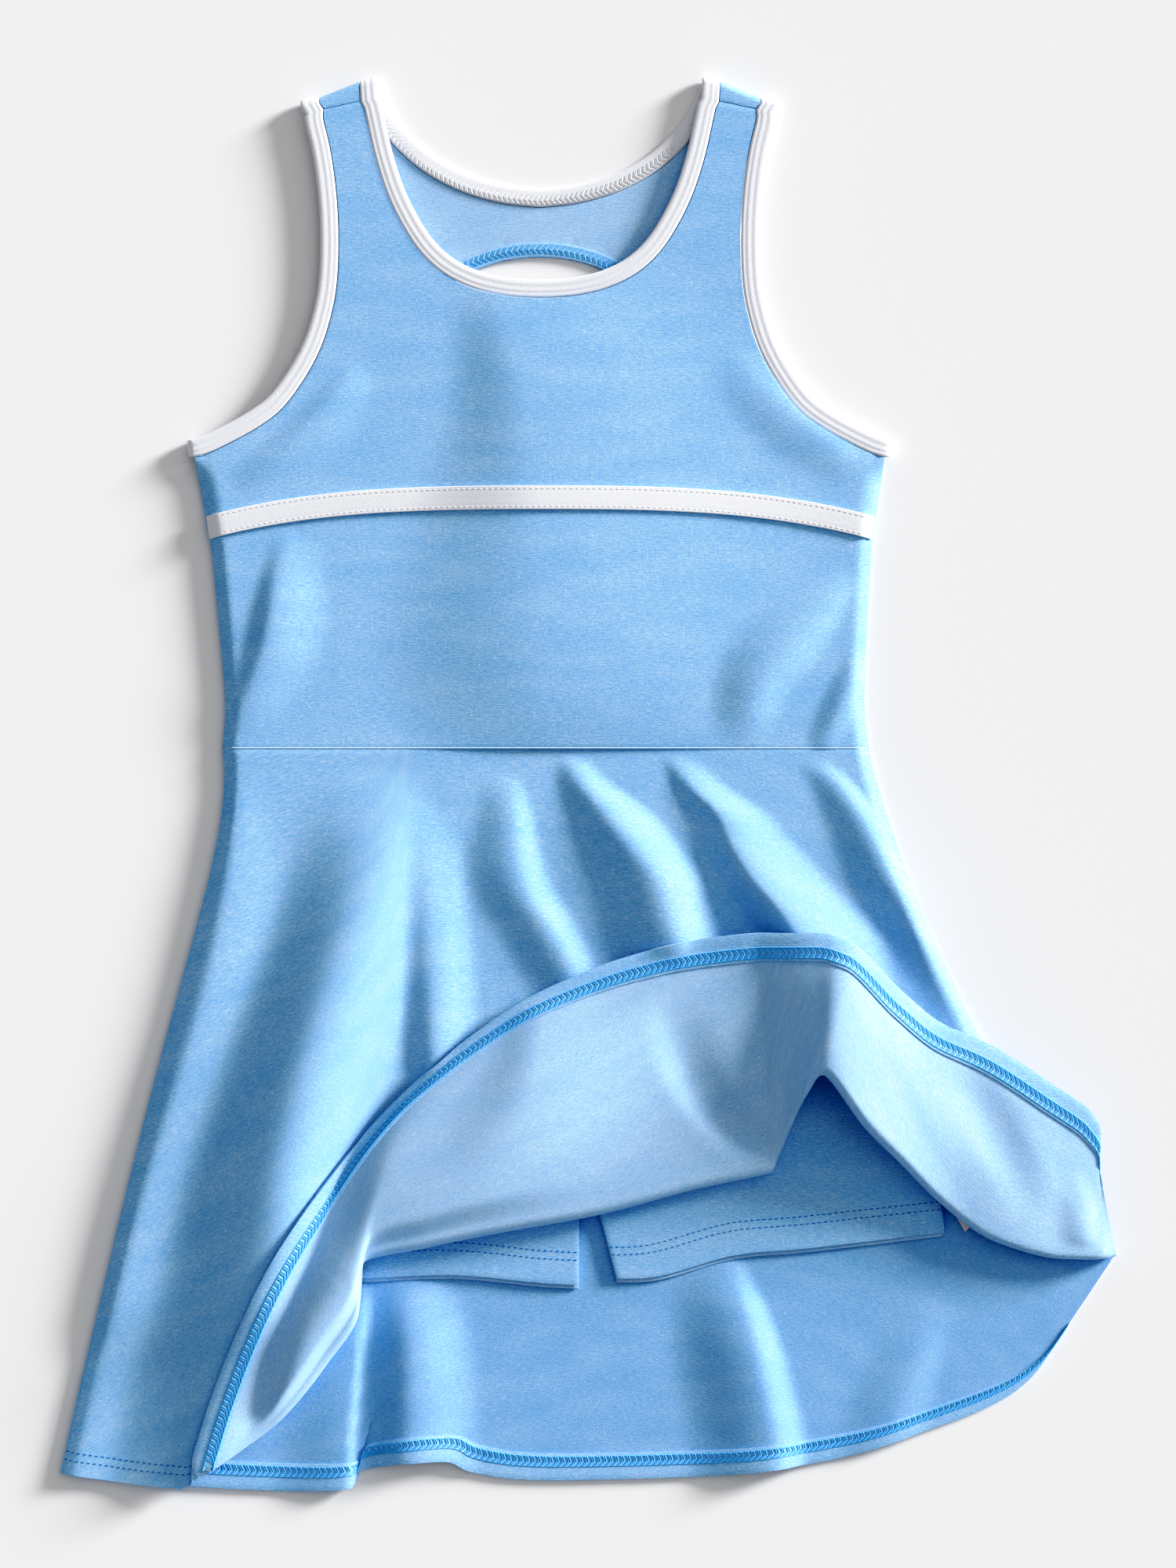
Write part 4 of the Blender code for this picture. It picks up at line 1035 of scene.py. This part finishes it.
def left_side(share):
    """A point on the left edge of the skirt, from the waist down."""
    x = LEFT_WAIST_X + (LEFT_HEM_CORNER[0] - LEFT_WAIST_X) * share
    y = SKIRT_TOP_Y + (LEFT_HEM_CORNER[1] - SKIRT_TOP_Y) * share
    ratio = share / LEFT_HOLLOW_PLACE
    return Vector((x + LEFT_HOLLOW * ratio * math.exp(1 - ratio) * ease((1 - share) * 4), y))


def right_side(share):
    """A point on the right edge of the skirt, from the waist to the top of the side vent."""
    x = RIGHT_WAIST_X + (RIGHT_VENT[0] - RIGHT_WAIST_X) * share
    y = SKIRT_TOP_Y + (RIGHT_VENT[1] - SKIRT_TOP_Y) * share
    return Vector((x - RIGHT_HOLLOW * math.sin(math.pi * share) ** 0.8, y))


def edge_x(side, y):
    """Where the skirt's left or right edge is at a height."""
    bottom = LEFT_HEM_CORNER[1] if side is left_side else RIGHT_VENT[1]
    share = min(max((SKIRT_TOP_Y - y) / (SKIRT_TOP_Y - bottom), 0.0), 1.0)
    return side(share).x


front_skirt_folds = smooth_folds(FRONT_SKIRT_FOLDS)
flap_creases = [spline(table, 3) for table in FLAP_CREASES.values()]


def skirt_front_z(x, y):
    """Middle of the front skirt's lower layer, which lies on the shorts and the back skirt."""
    inside = min(x - edge_x(left_side, y), edge_x(right_side, y) - x)
    over_shorts = 1 - HEM_DROP * ease((SHORTS_HEM_Y - y) / HEM_DROP_LENGTH)
    lift = ease(inside / SIDE_ROLL)
    level = SIDE_SEAM_Z + (FRONT_WAIST_Z - SIDE_SEAM_Z) * lift * over_shorts
    return level + fold_height(front_skirt_folds, x, y) * ease((inside + 1.0) / FOLD_FADE)


def glide(before, start, stop, after, t):
    """A value between start and stop that never runs past either, smooth at both."""
    slopes = (start - before, stop - start, after - stop)
    first, last = (2 * a * b / (a + b) if a * b > 0 else 0.0
                   for a, b in zip(slopes, slopes[1:]))
    return (start + first * t + (3 * slopes[1] - 2 * first - last) * t ** 2
            + (first + last - 2 * slopes[1]) * t ** 3)


def skirt_sections():
    """The front skirt's sections with smooth ones between them, each with its share across."""
    last = len(FRONT_SKIRT) - 1
    ends = [FRONT_SKIRT[0]] + FRONT_SKIRT + [FRONT_SKIRT[-1]]
    sections = []
    for place in range(last):
        before, start, stop, after = ends[place:place + 4]
        width = max(math.dist(start[1:3], stop[1:3]), math.dist(start[5:7], stop[5:7]),
                    stop[0] - start[0])
        pieces = max(round(width / COLUMN_WIDTH), 1)
        for step in range(pieces):
            t = step / pieces
            row = [glide(a, b, c, d, t) for a, b, c, d in zip(before, start, stop, after)]
            for field in (0, 3, 4):
                row[field] = start[field] + (stop[field] - start[field]) * t
            sections.append((row, (place + t) / last))
    sections.append((FRONT_SKIRT[-1], 1.0))
    return sections


def skirt_column(row, share):
    """One line of the front skirt's cloth from the waist over the fold to the hem."""
    waist_x, fold_x, fold_y, radius, turned, end_x, end_y, crest_z, end_z = row
    lower_rows, turn_rows, upper_rows = SKIRT_ROWS
    fold = Vector((fold_x, fold_y))
    end = Vector((end_x, end_y))
    start = Vector((waist_x, SKIRT_TOP_Y))
    ahead = (fold - start).normalized()
    back_way = (end - fold).normalized()
    arc_base = fold - ahead * radius * ease(turned * 2)
    left_weight = ease(1 - share / LEFT_REACH)
    right_weight = ease(1 - (1 - share) / RIGHT_REACH)
    points = []
    for step in range(lower_rows + 1):
        t = step / lower_rows
        point = start.lerp(arc_base, t)
        point += (left_side(t) - left_side(0.0).lerp(left_side(1.0), t)) * left_weight
        point += (right_side(t) - right_side(0.0).lerp(right_side(1.0), t)) * right_weight
        points.append(Vector((point.x, point.y, skirt_front_z(point.x, point.y))))
    low_z = points[-1].z
    flat_steps = turn_rows + upper_rows
    for step in range(1, flat_steps + 1):
        t = step / turn_rows * FLAT_SHARE if step <= turn_rows else (
            FLAT_SHARE + (1 - FLAT_SHARE) * (step - turn_rows) / upper_rows)
        plan = fold.lerp(end, t)
        flat = Vector((plan.x, plan.y, skirt_front_z(plan.x, plan.y)))
        if step <= turn_rows:
            angle = math.pi * step / turn_rows
            height = low_z + radius * (1 - math.cos(angle))
            if angle <= math.pi / 2:
                plan = arc_base + ahead * radius * math.sin(angle)
            else:
                plan = fold + back_way * radius * (1 - math.sin(angle))
        else:
            t = (step - turn_rows) / upper_rows
            base = fold + back_way * radius
            plan = base.lerp(end, t)
            foot, c = low_z + 2 * radius, CREST_PLACE
            height = (foot * (t - c) * (t - 1) / c + crest_z * t * (1 - t) / (c * (1 - c))
                      + end_z * t * (t - c) / (1 - c))
            fade = ease(t * CREASE_START) * ease((1 - t) * CREASE_END)
            height += crease_height(flap_creases, plan.x, plan.y) * fade
            floor = skirt_front_z(plan.x, plan.y) + FLAP_CLEARANCE
            gap = height - floor
            if gap < REST_SOFTLY_WITHIN:
                height = floor + 0.5 * (gap + math.sqrt(gap * gap + 1.0))
        folded = Vector((plan.x, plan.y, height))
        points.append(flat.lerp(folded, turned))
    return points


def cut_grain(rails):
    """Where each point lies in the flat cut, a ring's sector with the knit straight across."""
    grain = [[None] * len(rails[0]) for _ in rails]
    count = len(rails[0]) - 1
    for column in range(count + 1):
        angle = SKIRT_CUT_HALF_ANGLE * (2 * column / count - 1)
        reach = SKIRT_CUT_RADIUS
        for row, rail in enumerate(rails):
            if row:
                reach += (rail[column] - rails[row - 1][column]).length
            grain[row][column] = (reach * math.sin(angle), -reach * math.cos(angle))
    return grain


def on_cloth(rails, row, column, lift):
    """A point on a grid of cloth at a row and column that need not be whole, raised off it."""
    r = min(int(row), len(rails) - 2)
    c = min(int(column), len(rails[0]) - 2)
    down_share, across_share = row - r, column - c
    upper = rails[r][c].lerp(rails[r][c + 1], across_share)
    lower = rails[r + 1][c].lerp(rails[r + 1][c + 1], across_share)
    left = rails[r][c].lerp(rails[r + 1][c], down_share)
    right = rails[r][c + 1].lerp(rails[r + 1][c + 1], down_share)
    out = (lower - upper).cross(right - left).normalized()
    return upper.lerp(lower, down_share) + out * lift


def row_from_hem(rails, column, distance):
    """The row, not always whole, that lies so far up the cloth from the hem."""
    row = len(rails) - 1
    left = distance
    while row > 0:
        step = (rails[row][column] - rails[row - 1][column]).length
        if step >= left:
            return row - left / step
        left -= step
        row -= 1
    return 0.0


def hem_line(rails, distance, lift, first=0, last=None):
    """A line across the cloth, that far up from its hem and that far off it."""
    last = len(rails[0]) - 1 if last is None else last
    return [on_cloth(rails, row_from_hem(rails, column, distance), column, lift)
            for column in range(first, last + 1)]


def turned_hem(skirt_name, rails, out, first=0):
    """The turned-in hem of a skirt, on its upper (1) or lower (-1) side, with its stitches."""
    band_rails = [hem_line(rails, distance, out * (JERSEY / 2 + HEM_BAND_LIFT))
                  for distance in HEM_BAND_ROWS]
    made = cloth(skirt_name + "_hem", [band_rails], HEM_BAND_THICK, (jersey_face,), True)
    lay(made)
    low, high = (hem_line(rails, distance, out * COVER_LIFT, first) for distance in COVER_LINES)
    cover = threads(skirt_name + "_cover_stitches", looper_lines(low, high, COVER_PITCH),
                    COVER_THREAD, blue_thread)
    lay(cover)


def needle_rows(name, rails, distances, thick, last=None):
    """Rows of separate needle stitches on the right side of a hem."""
    sewn = []
    for distance in distances:
        sewn += dashes(hem_line(rails, distance, thick / 2 + 0.1, 0, last), HEM_STITCH,
                       HEM_STITCH_FILL, down)
    return threads(name, sewn, NEEDLE_THREAD, needle_thread)


sections = skirt_sections()
columns_made = [skirt_column(row, share) for row, share in sections]
front_rails = [list(rail) for rail in zip(*columns_made)]
skirt = cloth("front_skirt", [front_rails], JERSEY, jersey, True,
              [cut_grain(front_rails)])
lay(skirt, "skirt_front")

turned_first = next(k for k, (row, _) in enumerate(sections) if row[4] >= 1.0)
turned_hem("front_skirt", front_rails, -1, turned_first)
# The needle thread is darker than the cloth: partly its own blue, partly painted shade of the
# needle holes.
needle_thread = sewing_thread("blue_needle_thread", "#3479C4")
lay(needle_rows("front_skirt_needle_stitches", front_rails, HEM_NEEDLES, JERSEY,
                turned_first - 1))

# Back skirt: the other flared panel, lying face down, so its paler back shows past the
# turned-up front. Here that back is drawn in darker tones than the front's back, as painted
# shade for the shadow that the raised front casts over it. A pleat lies folded at the left
# and a soft ridge runs to the hem at the right. The right side seam is left open at the hem
# as a vent.
VENT_PLACE = 0.83
BACK_SKIRT_GRID = (190, 110)
HEM_HOLDS_BELOW_Y = -276.5
BACK_HEM = [
    (-221.8, -288.6), (-166, -295.3), (-105, -296.7), (-94.5, -288.2), (-62, -284.5),
    (-50, -289), (-30, -292.2), (3, -292.4), (61, -290), (108, -282.8),
    (139, -273), (170, -261), (186, -250), (196, -236.3),
]
BACK_SKIRT_FOLDS = {
    "pleat_edge": [
        # y, x, height, width of the left flank, width of the right flank
        (-206, -94.5, 0, 12, 3), (-222, -95, 2, 20, 3), (-250, -97.5, 2.8, 32, 2.6),
        (-320, -104, 2.8, 36, 2.6),
    ],
    "pleat_ridge": [
        (-206, -75, 0, 16, 18), (-220, -74, 3.4, 19, 24), (-238, -74, 5.4, 20, 28),
        (-275, -74, 5.6, 22, 30), (-320, -75, 5, 24, 30),
    ],
    "right_ridge": [
        (-196, 58, 0, 20, 8), (-208, 61, 1.8, 28, 9), (-222, 66, 4, 34, 11),
        (-242, 71, 5.4, 37, 13), (-277, 78, 5.2, 38, 15), (-320, 86, 4.2, 36, 16),
    ],
    "right_dip": [
        (-215, 146, 0, 18, 12), (-240, 138, 1.2, 22, 14), (-262, 130, 1.6, 24, 16),
        (-310, 118, 1, 20, 16),
    ],
}
back_skirt_folds = smooth_folds(BACK_SKIRT_FOLDS)


def skirt_back_z(x, y):
    """Middle of the back skirt. The doubled hem holds the folds' height above it."""
    return BACK_Z + fold_height(back_skirt_folds, x, max(y, HEM_HOLDS_BELOW_Y))


columns, rows = BACK_SKIRT_GRID
top = level(LEFT_WAIST_X, RIGHT_WAIST_X, SKIRT_TOP_Y, columns)
hem = smooth_line(BACK_HEM, columns)
left = [left_side(step / rows).to_3d() for step in range(rows + 1)]
left[-1] = hem[0]
right = []
for step in range(rows + 1):
    share = step / rows
    if share <= VENT_PLACE:
        right.append(right_side(share / VENT_PLACE).to_3d())
    else:
        below = (share - VENT_PLACE) / (1 - VENT_PLACE)
        right.append(Vector((*RIGHT_VENT, 0.0)).lerp(hem[-1], below))
back_rails = patch(top, hem, left, right, skirt_back_z)
# Its back takes the darker jersey, which is painted shade from the raised front skirt.
back_skirt = cloth("back_skirt", [back_rails], JERSEY, (jersey_face, jersey_back_painted_shade), False,
                   [cut_grain(back_rails)])
lay(back_skirt, "skirt_back")

turned_hem("back_skirt", back_rails, 1)

# Shorts: two legs, each a front and a back of the same jersey, sewn into the waist seam. Each
# hem is turned in and sewn with two needles well above its edge.
CENTRE_SEAM = [(-17.9, SKIRT_TOP_Y), (-8.0, -80.0), (-1.0, -161.0)]
SHORTS_LEGS = {
    "left": {"outer": [(-143.0, SKIRT_TOP_Y), (-143.5, -80.0), (-140.6, -211.0)],
             "inner": [(-1.0, -161.0), (-3.5, -184.0), (-3.8, -212.0)],
             "hem": [(-140.6, -211.0), (-94.0, -209.2), (-56.0, -207.9), (-20.0, -211.2),
                     (-3.8, -212)]},
    "right": {"outer": [(107.0, SKIRT_TOP_Y), (128.0, -80.0), (148.2, -177.0), (148.4, -190.0)],
              "inner": [(-1.0, -161.0), (4.5, -181.0), (12.0, -209.4)],
              "hem": [(12.0, -209.4), (30.4, -208.2), (61.4, -199.6), (92.4, -196.6),
                      (148.4, -190)]},
}
SHORTS_COLUMNS = 60
SHORTS_STEPS = (56, 24)
SHORTS_JERSEY = 0.8
SHORTS_Z = {"front": 3.3, "back": 2.0}
FRONT_LEG_STEP = 1.6
SHORTS_NEEDLES = (10.6, 13.9)

seam = along(spline(CENTRE_SEAM), SHORTS_STEPS[0])
for label, side in (("left", -1), ("right", 1)):
    leg = SHORTS_LEGS[label]
    inner = seam + along(spline(leg["inner"]), SHORTS_STEPS[1])[1:]
    inner = [Vector((p.x + side * SEAM_GAP / 2, p.y, 0.0)) for p in inner]
    outer = smooth_line(leg["outer"], sum(SHORTS_STEPS))
    hem = smooth_line(leg["hem"], SHORTS_COLUMNS)
    left, right = (outer, inner) if side < 0 else (inner, outer)
    hem[0], hem[-1] = left[-1], right[-1]
    top = straight(left[0], right[0], SHORTS_COLUMNS)
    length = SKIRT_TOP_Y - hem[0].y
    for face, shorter in (("front", FRONT_LEG_STEP), ("back", 0.0)):
        rails = patch(top, hem, left, right, lambda x, y, face=face: SHORTS_Z[face])
        for point in (p for rail in rails for p in rail):
            point.y += shorter * ease((SKIRT_TOP_Y - point.y) / length)
        panel = cloth("shorts_%s_%s_panel" % (face, label), [rails], SHORTS_JERSEY,
                      jersey, face == "front")
        lay(panel, "shorts_%s_%s" % (face, label))
        if face == "front":
            lay(needle_rows("shorts_%s_stitches" % label, rails, SHORTS_NEEDLES,
                            SHORTS_JERSEY), None)

# Care label: a blank tab of woven satin, caught in the side seam of the right leg. Only its
# lower corner shows past the turned-up front.
LABEL_CORNERS = [(149.3, -157.0), (164.3, -182.4), (149.3, -172.0), (158.6, -188.1)]
LABEL_STEPS = 8
LABEL_THICK = 0.5


def label_satin(name, colour):
    """Woven polyester satin, pale and slightly glossy along its ribs."""
    made, tree, shader = plain_material(name, colour, Base_Color=srgb(colour), Roughness=0.4)
    place = node(tree, "ShaderNodeTexCoord")
    rib = node(tree, "ShaderNodeTexWave", [(0, place.outputs["Object"])], in_1=1 / (2.0 * MM))
    relief(tree, shader, rib.outputs[1], 0.2, 0.1)
    return made


corners = raised(LABEL_CORNERS, SHORTS_Z["back"])
upper, lower = straight(*corners[:2], LABEL_STEPS), straight(*corners[2:], LABEL_STEPS)
label_rails = [[a.lerp(b, share) for a, b in zip(upper, lower)] for share in (0.0, 0.5, 1.0)]
care_label = cloth("care_label_tab", [label_rails], LABEL_THICK,
                   (label_satin("label_satin", "#F0E2E4"),), True)
lay(care_label, "care_label")

# Table: a plain pale board, lit softly from the right and a little from the neck end, and
# seen from straight above.
PHOTO_SCALE = 0.33
CAMERA_HEIGHT = 2600.0
SENSOR = 24.0
ROOM_LIGHT = 0.33
BLACK = 0.045
TOE_AND_SHOULDER = ((0.05, 0.022), (0.1, 0.07), (0.2, 0.185), (0.3, 0.3), (0.6, 0.6),
                    (0.86, 0.86))


def painted_board(name, colour):
    """Matt white paint on board, with a faint unevenness from the roller."""
    made, tree, shader = plain_material(name, colour, Base_Color=srgb(colour), Roughness=0.9)
    relief(tree, shader, object_noise(tree, 400.0, 2.0), 0.05, 0.2)
    return made


shape = bmesh.new()
bmesh.ops.create_grid(shape, x_segments=8, y_segments=8, size=3.0)
bmesh.ops.translate(shape, verts=shape.verts, vec=(0.0, 0.0, -0.0001))
finished("table", shape, (painted_board("painted_board", "#F1F1F2"),))

for name, power, spread, stands in (
        # power, degrees across, and the way to it from the dress
        ("softbox", 7.6, 15, (0.88, 0.47, 0.236)),
        ("overhead_dish", 0.5, 60, (0.5, 0.4, 0.77))):
    sun = bpy.data.lights.new(name, "SUN")
    sun.energy = power
    sun.angle = math.radians(spread)
    put(name, sun).rotation_euler = Vector(stands).to_track_quat("Z", "Y").to_euler()
world = bpy.data.worlds.new("room")
world.use_nodes = True
room = world.node_tree.nodes["Background"].inputs
room["Color"].default_value = srgb("#FFFFFF")
room["Strength"].default_value = ROOM_LIGHT
bpy.context.scene.world = world
print_look = bpy.context.scene.view_settings
print_look.view_transform = "Standard"
print_look.use_curve_mapping = True
print_look.curve_mapping.black_level = (BLACK, BLACK, BLACK)
tones = print_look.curve_mapping.curves[3].points
for darkness, shown in TOE_AND_SHOULDER:
    tones.new(darkness, shown)
tones[-1].location = (1.0, 0.94)
print_look.curve_mapping.update()

lens = bpy.data.cameras.new("camera")
lens.sensor_fit = "VERTICAL"
lens.sensor_height = SENSOR
lens.lens = SENSOR * CAMERA_HEIGHT / (2000 * PHOTO_SCALE)
camera = put("camera", lens)
camera.location = (0.0, PHOTO_SCALE * MM, CAMERA_HEIGHT * MM)
bpy.context.scene.camera = camera
